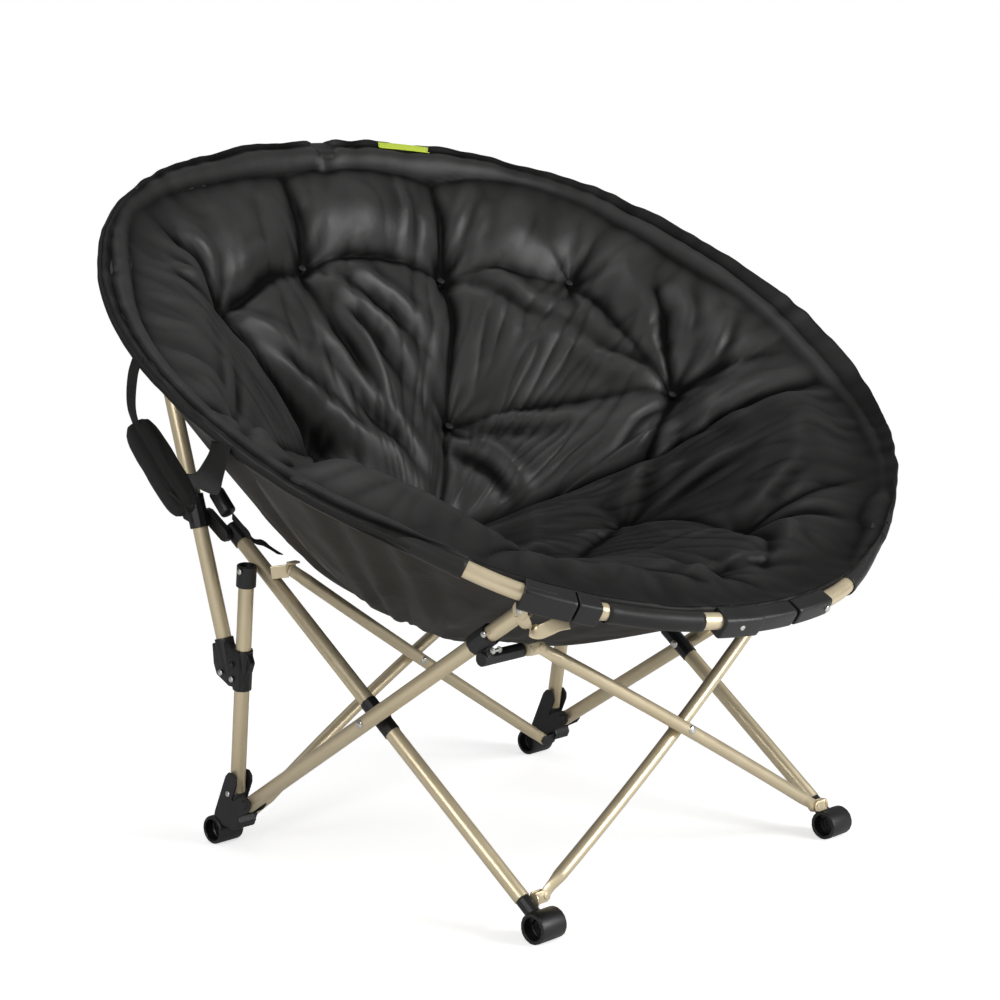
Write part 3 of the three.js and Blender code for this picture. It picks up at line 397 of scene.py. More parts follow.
def fasten(
    piece: bpy.types.Object, body: str, finish: Finish, box: Paintbox, *nodes: str,
) -> bpy.types.Object:
    """Dresses a finished piece and sets it on its body.

    Args:
        piece: the object, in place.
        body: the body that it rides on.
        finish: its finish.
        box: the materials.
        nodes: the frame's nodes that it stands for.

    Returns:
        The piece.
    """
    piece.data.materials.clear()
    piece.data.materials.append(box.of[finish])
    # Cushion cloth without its own painted shade gets the plain, even level of it.
    if finish is Finish.CUSHION and "relief" not in piece.data.attributes:
        layer = piece.data.attributes.new("relief", "FLOAT", "POINT")
        layer.data.foreach_set("value", [PLAIN_PAINTED_SHADE] * len(piece.data.vertices))
    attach(piece, body)
    if nodes:
        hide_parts(*nodes)
    PIECES.append(piece)
    LOG.info("%s on %s: %d faces", piece.name, body, len(piece.data.polygons))
    return piece


def pick(obj: bpy.types.Object) -> None:
    """Selects one object alone and makes it active."""
    bpy.ops.object.select_all(action="DESELECT")
    obj.select_set(True)
    bpy.context.view_layer.objects.active = obj


def settle(obj: bpy.types.Object, name: str) -> bpy.types.Object:
    """Applies an object's place to its mesh and names it."""
    pick(obj)
    bpy.ops.object.transform_apply(location=True, rotation=True, scale=True)
    obj.name = name
    obj.data.name = name
    return obj


def apply_modifier(obj: bpy.types.Object, kind: str, **settings: object) -> None:
    """Adds one modifier with its settings and applies it."""
    modifier = obj.modifiers.new(kind.lower(), kind)
    for key, value in settings.items():
        setattr(modifier, key, value)
    pick(obj)
    bpy.ops.object.modifier_apply(modifier=modifier.name)


def mesh_object(
    name: str, points: np.ndarray, faces: list, uvs: np.ndarray | None = None,
) -> bpy.types.Object:
    """Makes a smooth mesh object.

    Args:
        name: its name.
        points: its vertices in metres.
        faces: its faces.
        uvs: a UV place for each vertex.

    Returns:
        The object, in the scene.
    """
    mesh = bpy.data.meshes.new(name)
    mesh.from_pydata([tuple(p) for p in np.asarray(points, float)], [], faces)
    mesh.update()
    if uvs is not None:
        layer = mesh.uv_layers.new(name="cloth")
        corners = np.empty(len(mesh.loops), dtype=np.int64)
        mesh.loops.foreach_get("vertex_index", corners)
        layer.data.foreach_set("uv", np.asarray(uvs, np.float32)[corners].ravel())
    mesh.polygons.foreach_set("use_smooth", [True] * len(mesh.polygons))
    obj = bpy.data.objects.new(name, mesh)
    bpy.context.scene.collection.objects.link(obj)
    return obj


def outward(obj: bpy.types.Object) -> bpy.types.Object:
    """Turns all faces of a closed mesh outwards."""
    shell = bmesh.new()
    shell.from_mesh(obj.data)
    bmesh.ops.recalc_face_normals(shell, faces=shell.faces)
    shell.to_mesh(obj.data)
    shell.free()
    return obj


def sweep(
    name: str, path: np.ndarray, half_wide: np.ndarray | float, half_thick: np.ndarray | float,
    across: Vector | np.ndarray, sides: int = 24, squareness: float = 1.0,
    closed: bool = False, capped: bool = True,
) -> bpy.types.Object:
    """Sweeps an oval or nearly square section along a path.

    Args:
        name: the object's name.
        path: the points of the centre line.
        half_wide: half the section across, for each point or for all.
        half_thick: half the section the other way.
        across: the direction of the section's width.
        sides: the number of sides of the section.
        squareness: 1 for an oval; smaller values square it.
        closed: whether the path runs back into its start.
        capped: whether open ends are filled.

    Returns:
        The object.
    """
    path = np.asarray(path, float)
    count = len(path)
    if closed:
        run = np.roll(path, -1, 0) - np.roll(path, 1, 0)
    else:
        run = np.gradient(path, axis=0)
    run /= np.linalg.norm(run, axis=1)[:, None]
    wide = np.broadcast_to(np.asarray(across, float), (count, 3)).copy()
    wide -= run * (wide * run).sum(1)[:, None]
    wide /= np.linalg.norm(wide, axis=1)[:, None]
    thick = np.cross(run, wide)
    turn = np.arange(sides) * FULL_TURN / sides
    c = np.sign(np.cos(turn)) * np.abs(np.cos(turn)) ** squareness
    s = np.sign(np.sin(turn)) * np.abs(np.sin(turn)) ** squareness
    hw = np.broadcast_to(np.asarray(half_wide, float), (count,))[:, None, None]
    ht = np.broadcast_to(np.asarray(half_thick, float), (count,))[:, None, None]
    rings = path[:, None] + hw * c[None, :, None] * wide[:, None] + ht * s[None, :, None] * thick[:, None]
    points = rings.reshape(-1, 3)
    reach = np.concatenate([[0], np.cumsum(np.linalg.norm(np.diff(path, axis=0), axis=1))])
    girth = float(np.mean(hw) + np.mean(ht)) * 3.0
    uvs = np.stack([np.tile(np.arange(sides) / sides * girth, count), np.repeat(reach, sides)], 1)
    faces = []
    for ring in range(count if closed else count - 1):
        low, high = ring * sides, (ring + 1) % count * sides
        for k in range(sides):
            n = (k + 1) % sides
            faces.append((low + k, low + n, high + n, high + k))
    if capped and not closed:
        faces.append(tuple(reversed(range(sides))))
        faces.append(tuple(range((count - 1) * sides, count * sides)))
    return outward(mesh_object(name, points, faces, uvs))


def crisp_ends(obj: bpy.types.Object, width: float) -> bpy.types.Object:
    """Bevels the sharp edges of a piece and keeps its round sides smooth."""
    apply_modifier(obj, "BEVEL", width=width, segments=2, limit_method="ANGLE", angle_limit=math.radians(50),
                   harden_normals=False)
    pick(obj)
    bpy.ops.object.shade_smooth_by_angle(angle=math.radians(40))
    return obj


def round_bar(name: str, start: Vector, end: Vector, radius: float, bevel: float = 0.0006,
              sides: int = 40) -> bpy.types.Object:
    """Adds a round bar between two points with softened ends.

    Args:
        name: its name.
        start: one end's centre.
        end: the other end's centre.
        radius: its radius.
        bevel: the width of the softened edge.
        sides: the number of sides.

    Returns:
        The object, its place in its mesh.
    """
    run = end - start
    bpy.ops.object.select_all(action="DESELECT")
    bpy.ops.mesh.primitive_cylinder_add(
        vertices=sides, radius=radius, depth=run.length, location=(start + end) / 2,
        rotation=run.to_track_quat("Z", "Y").to_euler(),
    )
    return crisp_ends(settle(bpy.context.active_object, name), bevel)


def join(name: str, *objects: bpy.types.Object) -> bpy.types.Object:
    """Joins several objects in one mesh and names it."""
    pick(objects[0])
    for obj in objects[1:]:
        obj.select_set(True)
    bpy.ops.object.join()
    joined = bpy.context.active_object
    joined.name = name
    joined.data.name = name
    return joined


def lathe(
    name: str, profile: list[tuple[float, float]], start: Vector, axis: Vector, sides: int = 32,
) -> bpy.types.Object:
    """Turns a profile of radius and height pairs round an axis, from a start point.

    Args:
        name: its name.
        profile: radius and height pairs in metres, from pole to pole.
        start: the place of height zero.
        axis: the axis' direction.
        sides: the number of sides.

    Returns:
        The object.
    """
    turn = np.arange(sides) * FULL_TURN / sides
    axis = axis.normalized()
    basis = axis.to_track_quat("Z", "Y").to_matrix()
    points = []
    for radius, height in profile:
        for angle in turn:
            spoke = Vector((radius * math.cos(angle), radius * math.sin(angle), height))
            points.append(start + basis @ spoke)
    faces = []
    for row in range(len(profile) - 1):
        for k in range(sides):
            n = (k + 1) % sides
            faces.append((row * sides + k, row * sides + n, (row + 1) * sides + n, (row + 1) * sides + k))
    obj = mesh_object(name, np.array([tuple(p) for p in points]), faces)
    shell = bmesh.new()
    shell.from_mesh(obj.data)
    bmesh.ops.remove_doubles(shell, verts=shell.verts, dist=1e-6)
    bmesh.ops.holes_fill(shell, edges=shell.edges, sides=0)
    bmesh.ops.recalc_face_normals(shell, faces=shell.faces)
    shell.to_mesh(obj.data)
    shell.free()
    pick(obj)
    bpy.ops.object.shade_smooth_by_angle(angle=math.radians(35))
    return obj


def rivet(name: str, start: Vector, end: Vector, head: float = 5.4 * MM, rise: float = 2.2 * MM,
          shank: float = 2.8 * MM) -> bpy.types.Object:
    """A rivet whose two domed heads lie outside two points.

    Args:
        name: its name.
        start: the seat of one head.
        end: the seat of the other head.
        head: the heads' radius.
        rise: the heads' height.
        shank: the shank's radius.

    Returns:
        The object.
    """
    length = (end - start).length
    dome = [(math.sin(t) * head, -rise * math.cos(t)) for t in np.linspace(0, math.pi / 2, 6)]
    profile = [*dome, (head, 0.0), (shank, 0.0), (shank, length), (head, length)]
    profile += [(math.cos(t) * head, length + rise * math.sin(t)) for t in np.linspace(0, math.pi / 2, 6)]
    return lathe(name, profile, start, end - start, 20)


def refined(node: str, name: str, frame: dict, voxel: float, passes: int) -> bpy.types.Object:
    """A copy of a node with its edges softened as a moulding's are.

    Args:
        node: the frame's node.
        name: the copy's name.
        frame: the loaded frame.
        voxel: the remesh size in metres.
        passes: the number of smoothing passes.

    Returns:
        The copy.
    """
    source = frame["nodes"][node]
    copy = bpy.data.objects.new(name, source.data.copy())
    bpy.context.scene.collection.objects.link(copy)
    shell = bmesh.new()
    shell.from_mesh(copy.data)
    bmesh.ops.remove_doubles(shell, verts=shell.verts, dist=1e-6)
    bmesh.ops.recalc_face_normals(shell, faces=shell.faces)
    shell.to_mesh(copy.data)
    shell.free()
    apply_modifier(copy, "REMESH", mode="VOXEL", voxel_size=voxel)
    apply_modifier(copy, "SMOOTH", factor=0.5, iterations=passes)
    copy.data.polygons.foreach_set("use_smooth", [True] * len(copy.data.polygons))
    return copy


def plated(node: str, name: str, frame: dict, width: float) -> bpy.types.Object:
    """A copy of a node of sheet metal with its edges bevelled.

    Args:
        node: the frame's node.
        name: the copy's name.
        frame: the loaded frame.
        width: the bevel's width.

    Returns:
        The copy.
    """
    copy = bpy.data.objects.new(name, frame["nodes"][node].data.copy())
    bpy.context.scene.collection.objects.link(copy)
    shell = bmesh.new()
    shell.from_mesh(copy.data)
    bmesh.ops.remove_doubles(shell, verts=shell.verts, dist=1e-6)
    bmesh.ops.recalc_face_normals(shell, faces=shell.faces)
    bmesh.ops.dissolve_limit(shell, angle_limit=0.01, verts=shell.verts, edges=shell.edges)
    shell.to_mesh(copy.data)
    shell.free()
    return crisp_ends(copy, width)


@dataclass(frozen=True)
class Saucer:
    """The oval rim and the surfaces that hang in it, in millimetres."""

    half_width: float = 551.4
    half_length: float = 475.2
    roundness: float = 2.04
    taper_share: float = 0.094
    saddle: float = 5.8
    height: float = 605.5
    tilt: float = math.radians(32.06)
    depth: float = 398.0
    flatness: float = 1.512
    fullness: float = 1.091

    def flat(self, angle: np.ndarray, share: np.ndarray) -> tuple[np.ndarray, np.ndarray, np.ndarray]:
        """The place across and along the rim's plane, and its saddle, at an angle and a share outwards."""
        angle, share = np.broadcast_arrays(np.asarray(angle, float), np.asarray(share, float))
        bend = 2 / self.roundness
        along = self.half_length * np.sign(np.sin(angle)) * np.abs(np.sin(angle)) ** bend
        across = self.half_width * np.sign(np.cos(angle)) * np.abs(np.cos(angle)) ** bend
        across = across * (1 + self.taper_share * along / self.half_length)
        sag = -self.saddle * (across / self.half_width) ** 2
        return across * share, along * share, sag * share

    def place(self, angle: np.ndarray, share: np.ndarray, rise: np.ndarray | float = 0.0) -> np.ndarray:
        """Points in metres at an angle, a share of the way out and a rise over the rim's plane."""
        u, w, h = self.flat(angle, share)
        h = h + rise
        c, s = math.cos(self.tilt), math.sin(self.tilt)
        return np.stack([u, w * c - h * s, self.height + w * s + h * c], -1) * MM

    def drop(self, share: np.ndarray) -> np.ndarray:
        """How far the bowl hangs below the rim's plane at a share of the way out."""
        share = np.clip(share, 0, 1)
        return self.depth * (1 - share ** self.flatness) ** self.fullness

    def angle_at(self, half_width: float, wide: float, narrow: float) -> float:
        """The angle between two others at which the rim's left half passes a half-width."""
        for _ in range(40):
            middle = (wide + narrow) / 2
            if -self.place(middle, 1.0)[0] > half_width * MM:
                wide = middle
            else:
                narrow = middle
        return (wide + narrow) / 2

    def normal(self) -> Vector:
        """The direction square to the rim's plane."""
        return Vector((0, -math.sin(self.tilt), math.cos(self.tilt)))

    def tube(self, angle: np.ndarray, mirror: bool) -> tuple[np.ndarray, np.ndarray]:
        """The tubes' share of the way out and their drop at an angle of the left half, or mirrored."""
        c, s = np.cos(angle), np.sin(angle)
        if mirror:
            ahead = 0.032 * smooth_step(-c, 0.12, 0.55) * smooth_step(-s, 0.1, 0.5)
            pull = np.maximum(0.026 * smooth_step(-c, 0.62, 0.88), ahead)
        else:
            pull = 0.046 * smooth_step(-c, 0.62, 0.88)
        tuck = smooth_step(s, -0.62, -0.2)
        share = 1 - pull - 0.024 * smooth_step(s, 0.84, 0.97) - (0.02 if mirror else 0.012) * tuck
        return share, 9.0 * tuck

    def line(self, start: float, end: float, count: int, mirror: bool, rise: float = 0.0) -> np.ndarray:
        """Points along the rim between two angles of the left half, or their mirror image."""
        angle = np.linspace(start, end, count)
        share, drop = self.tube(angle, mirror)
        points = self.place(angle, share, rise - drop)
        if mirror:
            points = points * np.array([-1, 1, 1])
        return points

    def hem(self, angle: np.ndarray) -> tuple[np.ndarray, np.ndarray]:
        """The share of the way out and the rise of the pad's outline at an angle."""
        c, s = np.cos(angle), np.sin(angle)
        share = 1.0 - 0.024 * smooth_step(-c, 0.45, 0.95) + 0.004 * smooth_step(c, 0.5, 0.95)
        share -= 0.026 * smooth_step(-s, 0.35, 0.8) + 0.004 * smooth_step(s, 0.86, 1.0)
        right = smooth_step(c, 0.5, 0.9) * smooth_step(-s, -0.4, 0.05)
        rise = 2.5 + 5.0 * smooth_step(c, 0.3, 0.8) + 9.0 * right + 5.0 * smooth_step(-s, 0.3, 0.9)
        return share, rise


SAUCER = Saucer()
BACK = FULL_TURN / 4
LEFT_ANGLE = FULL_TURN / 2
FRONT = FULL_TURN * 3 / 4


def cloud(points: np.ndarray, scale: float, seed: float) -> np.ndarray:
    """Smooth noise at points.

    Args:
        points: an array whose last axis is a place.
        scale: how many swells per unit.
        seed: an offset that sets this noise apart.

    Returns:
        Values from about -1 to 1.
    """
    flat = np.asarray(points, float).reshape(-1, points.shape[-1]) * scale + seed
    if flat.shape[1] == 2:
        flat = np.concatenate([flat, np.full((len(flat), 1), seed)], 1)
    values = np.fromiter((noise.noise(Vector(p)) for p in flat), float, len(flat))
    return values.reshape(points.shape[:-1])


def smooth_step(value: np.ndarray, low: float, high: float) -> np.ndarray:
    """A smooth step from 0 at low to 1 at high."""
    t = np.clip((value - low) / (high - low), 0, 1)
    return t * t * (3 - 2 * t)


def line_distance(u: np.ndarray, w: np.ndarray, line: tuple[float, float, float, float]) -> tuple:
    """Distance to a stretch, the signed distance to its line and the share along it."""
    x0, y0, x1, y1 = line
    dx, dy = x1 - x0, y1 - y0
    length = math.hypot(dx, dy)
    share = np.clip(((u - x0) * dx + (w - y0) * dy) / length ** 2, 0, 1)
    off_x, off_y = u - (x0 + share * dx), w - (y0 + share * dy)
    signed = ((u - x0) * -dy + (w - y0) * dx) / length
    return np.hypot(off_x, off_y), signed, share


@dataclass
class Cushion:
    """The tufted pad: its thickness, buttons, creases and puckers, in millimetres of the rim's plane."""

    sides: int = 560
    rows: int = 150
    middle_thick: float = 86.0
    side_thick: float = 56.0
    button_depth: float = 48.0
    button_reach: float = 38.0
    crease_depth: float = 24.0
    crease_reach: float = 10.0
    swell: float = 24.0
    swell_reach: float = 85.0
    seat_rise: float = 30.0
    valley_depth: float = 48.0
    valley_reach: float = 20.0
    hem_start: float = 0.74
    lining: float = 3.6
    warp: float = 9.0
    star_height: float = 1.7
    star_reach: float = 62.0
    star_start: float = 12.0
    deepest_dip: float = 58.0
    thinnest: float = 12.0
    buttons: tuple = (
        (-64, 345), (171, 314), (-250, 273), (125, 161), (388, 36), (185, -123), (191, -273),
        (-125, 150), (-388, 36), (-185, -123), (-191, -273), (340, 240), (10, -365), (-20, -40),
    )
    creases: tuple = (
        (-64, 345, -70, 452, 1.3), (171, 314, 190, 440, 1.1), (388, 36, 428, 165, 1.0),
        (-64, 345, 171, 314, 1.0), (-250, 273, -64, 345, 0.8), (-250, 273, -335, 362, 0.9),
        (171, 314, 125, 161, 1.2), (125, 161, 52, 66, 1.1), (171, 314, 340, 240, 0.5),
        (388, 36, 285, -48, 1.1), (125, 161, 388, 36, 0.35), (340, 240, 388, 36, 0.4),
        (185, -123, 191, -273, 0.8), (191, -273, 60, -392, 0.6), (191, -273, 345, -292, 0.6),
        (185, -123, 20, -172, 0.5), (388, 36, 500, -20, 0.4), (-125, 150, -60, 66, 1.0),
        (-250, 273, -125, 150, 0.9), (-125, 150, -388, 36, 0.5), (-388, 36, -505, 40, 0.6),
        (-388, 36, -290, -60, 0.8), (-185, -123, -191, -273, 0.8), (-185, -123, -20, -172, 0.5),
        (-191, -273, -60, -392, 0.6), (10, -365, 12, -452, 0.6), (-191, -273, -345, -292, 0.6),
    )
    folds: tuple = (
        (-52, 320, 70, 190, 11, 15), (-30, 330, 104, 236, 8, 13), (-64, 320, 10, 150, 12, 17),
        (-230, 262, -96, 205, 9, 13), (-236, 250, -60, 150, 12, 16), (-225, 236, -20, 120, 9, 13),
        (-212, 214, 12, 86, 10, 16), (-84, 250, 40, 104, 8, 12), (-240, 290, -120, 330, 6, 12),
        (-300, 350, -256, 290, 9, 12), (-345, 316, -262, 276, 8, 13), (-380, 270, -270, 262, 6, 12),
        (196, 300, 300, 196, 5, 13), (190, 330, 262, 402, 5, 12), (106, 330, 128, 420, 5, 12),
        (136, 150, 250, 60, 6, 14), (110, 140, 150, 30, 9, 14), (96, 130, 20, 20, 7, 12),
        (372, 60, 300, 170, 6, 14), (402, 20, 492, 70, 6, 13), (380, 14, 330, -110, 9, 14),
        (370, 20, 262, -10, 6, 12), (410, 60, 470, 150, 5, 12), (170, -136, 90, -100, 7, 13),
        (200, -136, 300, -150, 7, 13), (196, -110, 260, -60, 6, 12), (180, -286, 120, -352, 8, 14),
        (204, -286, 262, -352, 8, 14), (206, -262, 300, -230, 6, 13), (176, -262, 60, -250, 6, 13),
        (20, -355, 120, -392, 6, 12), (0, -352, -90, -372, 6, 12), (-20, -60, 70, -140, 6, 14),
        (420, -120, 500, -140, 7, 14), (400, -180, 470, -230, 7, 13), (-100, 140, -200, 60, 8, 13),
        (-390, 60, -330, 150, 7, 13), (-400, 20, -480, -60, 7, 13), (-180, -150, -300, -190, 7, 13),
    )

    def heights(self, angle: np.ndarray, share: np.ndarray) -> np.ndarray:
        """The pad's thickness over the bowl at angles and shares of the way out."""
        u, w, _ = SAUCER.flat(angle, share * SAUCER.hem(angle)[0])
        thick = self.side_thick + (self.middle_thick - self.side_thick) * (1 - share ** 2)
        spread = np.stack([u, w], -1) / 100.0
        warp_u = u + self.warp * cloud(spread, 1.3, 3.1)
        warp_w = w + self.warp * cloud(spread, 1.3, 8.7)
        nearest = np.full(u.shape, 400.0)
        dip = np.zeros(u.shape)
        stars = np.zeros(u.shape)
        for order, (bu, bw) in enumerate(self.buttons):
            reach = np.hypot(warp_u - bu, warp_w - bw)
            nearest = np.minimum(nearest, np.hypot(u - bu, w - bw))
            dip += self.button_depth * np.exp(-((reach / self.button_reach) ** 1.15))
            turn = np.arctan2(w - bw, u - bu)
            rays = np.cos(5 * turn + order * 1.7) + 0.8 * np.cos(8 * turn + order * 2.9)
            rays += 0.25 * np.cos(13 * turn + order * 0.7)
            near = np.exp(-reach / self.star_reach)
            stars += self.star_height * rays * near * (1 - np.exp(-reach / self.star_start))
        for x0, y0, x1, y1, weight in self.creases:
            reach, _, along = line_distance(warp_u, warp_w, (x0, y0, x1, y1))
            nearest = np.minimum(nearest, reach + 18)
            fade = 1 - 0.6 * along ** 2
            dip += self.crease_depth * weight * fade * np.exp(-reach / self.crease_reach)
        dip = self.deepest_dip * (1 - np.exp(-dip / self.deepest_dip))
        swell = self.swell * (1 - np.exp(-((nearest / self.swell_reach) ** 1.6)))
        ripple = np.zeros(u.shape)
        for x0, y0, x1, y1, height, width in self.folds:
            reach, signed, along = line_distance(warp_u, warp_w, (x0, y0, x1, y1))
            lengthwise = 0.25 + np.sin(math.pi * np.clip(along, 0.02, 0.98))
            bound = np.exp(-((reach / (width * 1.5)) ** 2)) * lengthwise
            ripple += height * bound * np.sin(np.clip(signed / width, -2.6, 2.6) * 1.5)
        ahead = self.ahead(u, w)
        seat = self.seat_rise * smooth_step(ahead, -6, 46) * (1 - smooth_step(np.abs(u), 330, 540))
        valley = self.valley_depth * np.exp(-(np.abs(ahead) / self.valley_reach)) * (
            1 - 0.55 * smooth_step(np.abs(u), 240, 540))
        lanes = np.stack([angle * 2.2 + 0.3 * share, share * 1.1], -1)
        slow = cloud(lanes, 2.1, 5.3) * 5.0
        sharp = cloud(lanes, 5.2, 11.9)
        crisp = (1 - np.abs(sharp)) ** 4 * 2.6 * smooth_step(share, 0.1, 0.4)
        rim_lanes = np.stack([angle * 9.0, share * 2.2], -1)
        puckers = cloud(rim_lanes, 1.25, 1.7) * 7.0 * smooth_step(share, 0.66, 0.9) * (2 - share)
        fine = cloud(spread, 3.4, 21.3) * 0.9
        body = thick + swell - dip + stars + ripple + seat - valley + slow - crisp + puckers + fine
        body = np.maximum(body, self.thinnest)
        hem = smooth_step(share, self.hem_start, 1.0)
        return body * (1 - hem) + SAUCER.hem(angle)[1] * hem

    @staticmethod
    def ahead(u: np.ndarray, w: np.ndarray) -> np.ndarray:
        """How far places lie in front of the curved crease between seat and back."""
        return 30 - 150 * (np.abs(u) / 545) ** 1.4 - w

    def surface(self, angle: np.ndarray, share: np.ndarray) -> np.ndarray:
        """The pad's height over the rim's plane at angles and shares of the way out."""
        pad = self.lining - SAUCER.drop(share) + self.heights(angle, share)
        return np.maximum(pad, self.roll(angle, share))

    @staticmethod
    def roll(angle: np.ndarray, share: np.ndarray) -> np.ndarray:
        """How high the hem lies where it wraps the rim's tubes."""
        right = np.cos(angle) > 0
        left_share, left_drop = SAUCER.tube(angle, False)
        right_share, right_drop = SAUCER.tube(math.pi - angle, True)
        u, w, _ = SAUCER.flat(angle, 1.0)
        off = (share * SAUCER.hem(angle)[0] - np.where(right, right_share, left_share)) * np.hypot(u, w)
        corner = np.exp(-(((u - 312) / 34) ** 4)) * (w < 0)
        return 13.0 + 3.5 * corner - np.where(right, right_drop, left_drop) - off ** 2 / (22 + 16 * corner)

    def build(self, box: Paintbox) -> None:
        """Builds the pad, its piping, its buttons and its tag."""
        angle = np.linspace(0, FULL_TURN, self.sides, endpoint=False)[None, :]
        share = (np.linspace(0.004, 1.0, self.rows) ** 0.82)[:, None]
        angle, share = np.broadcast_arrays(angle, share)
        top_rise = self.surface(angle, share)
        edge_share, edge_rise = SAUCER.hem(angle)
        scallop = self.scallop(angle)
        top_rise = top_rise + (scallop - self.notch(angle)) * smooth_step(share, 0.88, 1.0)
        top_share = share * (edge_share + 0.0011 * scallop * smooth_step(share, 0.9, 1.0))
        top = SAUCER.place(angle, top_share, top_rise)
        under_share, under_angle = np.broadcast_arrays(np.linspace(1.0, 0.0, 24)[:, None], angle[:1])
        under_rise = -SAUCER.drop(under_share) + self.lining
        under_rise = np.where(under_share > 0.9, np.maximum(under_rise, -4.0), under_rise)
        under_rise = np.minimum(under_rise, self.surface(under_angle, under_share) - 5.0)
        out_share = SAUCER.hem(under_angle)[0]
        under = SAUCER.place(under_angle, np.maximum(under_share, 0.004) * out_share, under_rise)
        drop = np.array([[2.5], [6.5]])
        ring_rise = edge_rise[:2] + scallop[:2] - self.notch(angle[:2]) - drop
        edge = SAUCER.place(angle[:2], edge_share[:2] * 1.006 + 0.0011 * scallop[:2], ring_rise)
        rings = np.concatenate([top, edge, under])
        u, w, _ = SAUCER.flat(angle[0][None, :], 1.0)
        out = np.concatenate([share[:, 0], [1.01, 1.02], 1.0 + np.linspace(0.03, 1.0, 24)])
        girth = out[:, None] + 0.35 * np.sin(np.clip(out[:, None], 0, 1) * math.pi / 2)
        uvs = np.stack([u * girth, w * girth], -1) * MM
        piece = mesh_object("tufted_cushion", rings.reshape(-1, 3), ring_faces(len(rings), self.sides, True),
                            uvs.reshape(-1, 2))
        # Painted shade for the top: folds darker, ridges lighter, seat and hem darker, kept as a vertex
        # attribute for the material; other rings get a plain level.
        relief = np.full(rings.shape[:2], 0.5)
        relief[:self.rows] = self.relief(top_rise + SAUCER.drop(share)) * self.shade(angle, share)
        layer = piece.data.attributes.new("relief", "FLOAT", "POINT")
        layer.data.foreach_set("value", relief.astype(np.float32).ravel())
        outward(piece)
        fasten(piece, "saucer", Finish.CUSHION, box, "cushion")
        flatten(piece)
        self.build_piping(box)
        self.build_buttons(box)
        self.build_tag(box)

    @staticmethod
    def relief(height: np.ndarray) -> np.ndarray:
        """Painted shade from how each point stands to its surroundings: from 0, darkest, deep in a fold to 1,
        lightest, on a ridge.
        """
        near = height.copy()
        for _ in range(14):
            inner, outer = np.vstack([near[:1], near[:-1]]), np.vstack([near[1:], near[-1:]])
            near = (np.roll(near, 1, 1) + np.roll(near, -1, 1) + inner + outer) / 4
        return 0.5 + 0.5 * np.tanh((height - near) / 3.2)

    @staticmethod
    def shade(angle: np.ndarray, share: np.ndarray) -> np.ndarray:
        """Painted shade that darkens the seat and the hem."""
        u, w, _ = SAUCER.flat(angle, share)
        seat = smooth_step(Cushion.ahead(u, w), -30, 60) * (1 - smooth_step(-u, 250, 430))
        return (1 - 0.42 * seat) * (1 - 0.3 * smooth_step(share, 0.86, 0.97))

    @staticmethod
    def scallop(angle: np.ndarray) -> np.ndarray:
        """How the outline swells and pulls in along the hem."""
        spot = np.stack([np.cos(angle), np.sin(angle)], -1)
        return 3.4 * cloud(spot, 9.0, 2.2) + 1.6 * cloud(spot, 22.0, 6.1)

    @staticmethod
    def notch(angle: np.ndarray) -> np.ndarray:
        """The dip of the outline where the two back tubes meet."""
        u = SAUCER.flat(angle, 1.0)[0]
        return 11 * np.exp(-(((u - 14) / 15) ** 2)) * (np.sin(angle) > 0)

    def build_piping(self, box: Paintbox) -> None:
        """The corded edge that runs round the pad's outline."""
        angle = np.linspace(0, FULL_TURN, 900, endpoint=False)
        share, rise = SAUCER.hem(angle)
        scallop = self.scallop(angle)
        path = SAUCER.place(angle, share * 1.008 + 0.0011 * scallop, rise + scallop - self.notch(angle) - 4.5)
        cord = sweep("cushion_piping", path, 3.4 * MM, 3.0 * MM, SAUCER.normal(), 12, closed=True)
        fasten(cord, "saucer", Finish.WEBBING, box)
        flatten(cord)

    def build_buttons(self, box: Paintbox) -> None:
        """Covered buttons pulled into the pad."""
        made = []
        for order, (u, w) in enumerate(self.buttons):
            angle, share = self.polar(u, w)
            rise = float(self.surface(np.array([[angle]]), np.array([[share / SAUCER.hem(angle)[0]]]))[0, 0])
            seat = Vector(SAUCER.place(angle, share, rise))
            ahead = Vector(SAUCER.place(angle, share, rise + 5)) - seat
            bpy.ops.object.select_all(action="DESELECT")
            bpy.ops.mesh.primitive_uv_sphere_add(
                segments=20, ring_count=10, radius=6.5 * MM, location=seat + ahead * 0.5, scale=(1, 1, 0.5),
                rotation=ahead.to_track_quat("Z", "Y").to_euler(),
            )
            button = settle(bpy.context.active_object, f"button_{order}")
            bpy.ops.object.shade_smooth()
            made.append(button)
        piece = join("covered_buttons", *made)
        fasten(piece, "saucer", Finish.CUSHION, box)
        flatten(piece)

    @staticmethod
    def polar(u: float, w: float) -> tuple[float, float]:
        """The angle and share of a place across and along the rim's plane."""
        angles = np.linspace(0, FULL_TURN, 1440, endpoint=False)
        eu, ew, _ = SAUCER.flat(angles, 1.0)
        lengths = np.hypot(eu, ew)
        target = math.hypot(u, w)
        match = (eu * u + ew * w) / lengths
        best = int(np.argmax(match))
        return float(angles[best]), target / float(lengths[best])

    def build_tag(self, box: Paintbox) -> None:
        """A bare coloured tag sewn to the pad's back edge."""
        start, end = math.radians(79.5), math.radians(71.5)
        angle = np.linspace(start, end, 14)
        rows = []
        for share in (0.995, 0.984, 0.972):
            height = self.surface(angle, np.full(angle.shape, share)) + 2.0
            rows.append(SAUCER.place(angle, share * SAUCER.hem(angle)[0], height))
        points = np.concatenate(rows)
        faces = []
        for row in range(2):
            for k in range(13):
                low = row * 14 + k
                faces.append((low, low + 1, low + 15, low + 14))
        uvs = np.stack([points[:, 0], points[:, 2]], 1)
        tag = mesh_object("sewn_tag", points, faces, uvs)
        apply_modifier(tag, "SOLIDIFY", thickness=0.8 * MM, offset=0.0)
        fasten(tag, "saucer", Finish.TAG, box)
        flatten(tag)


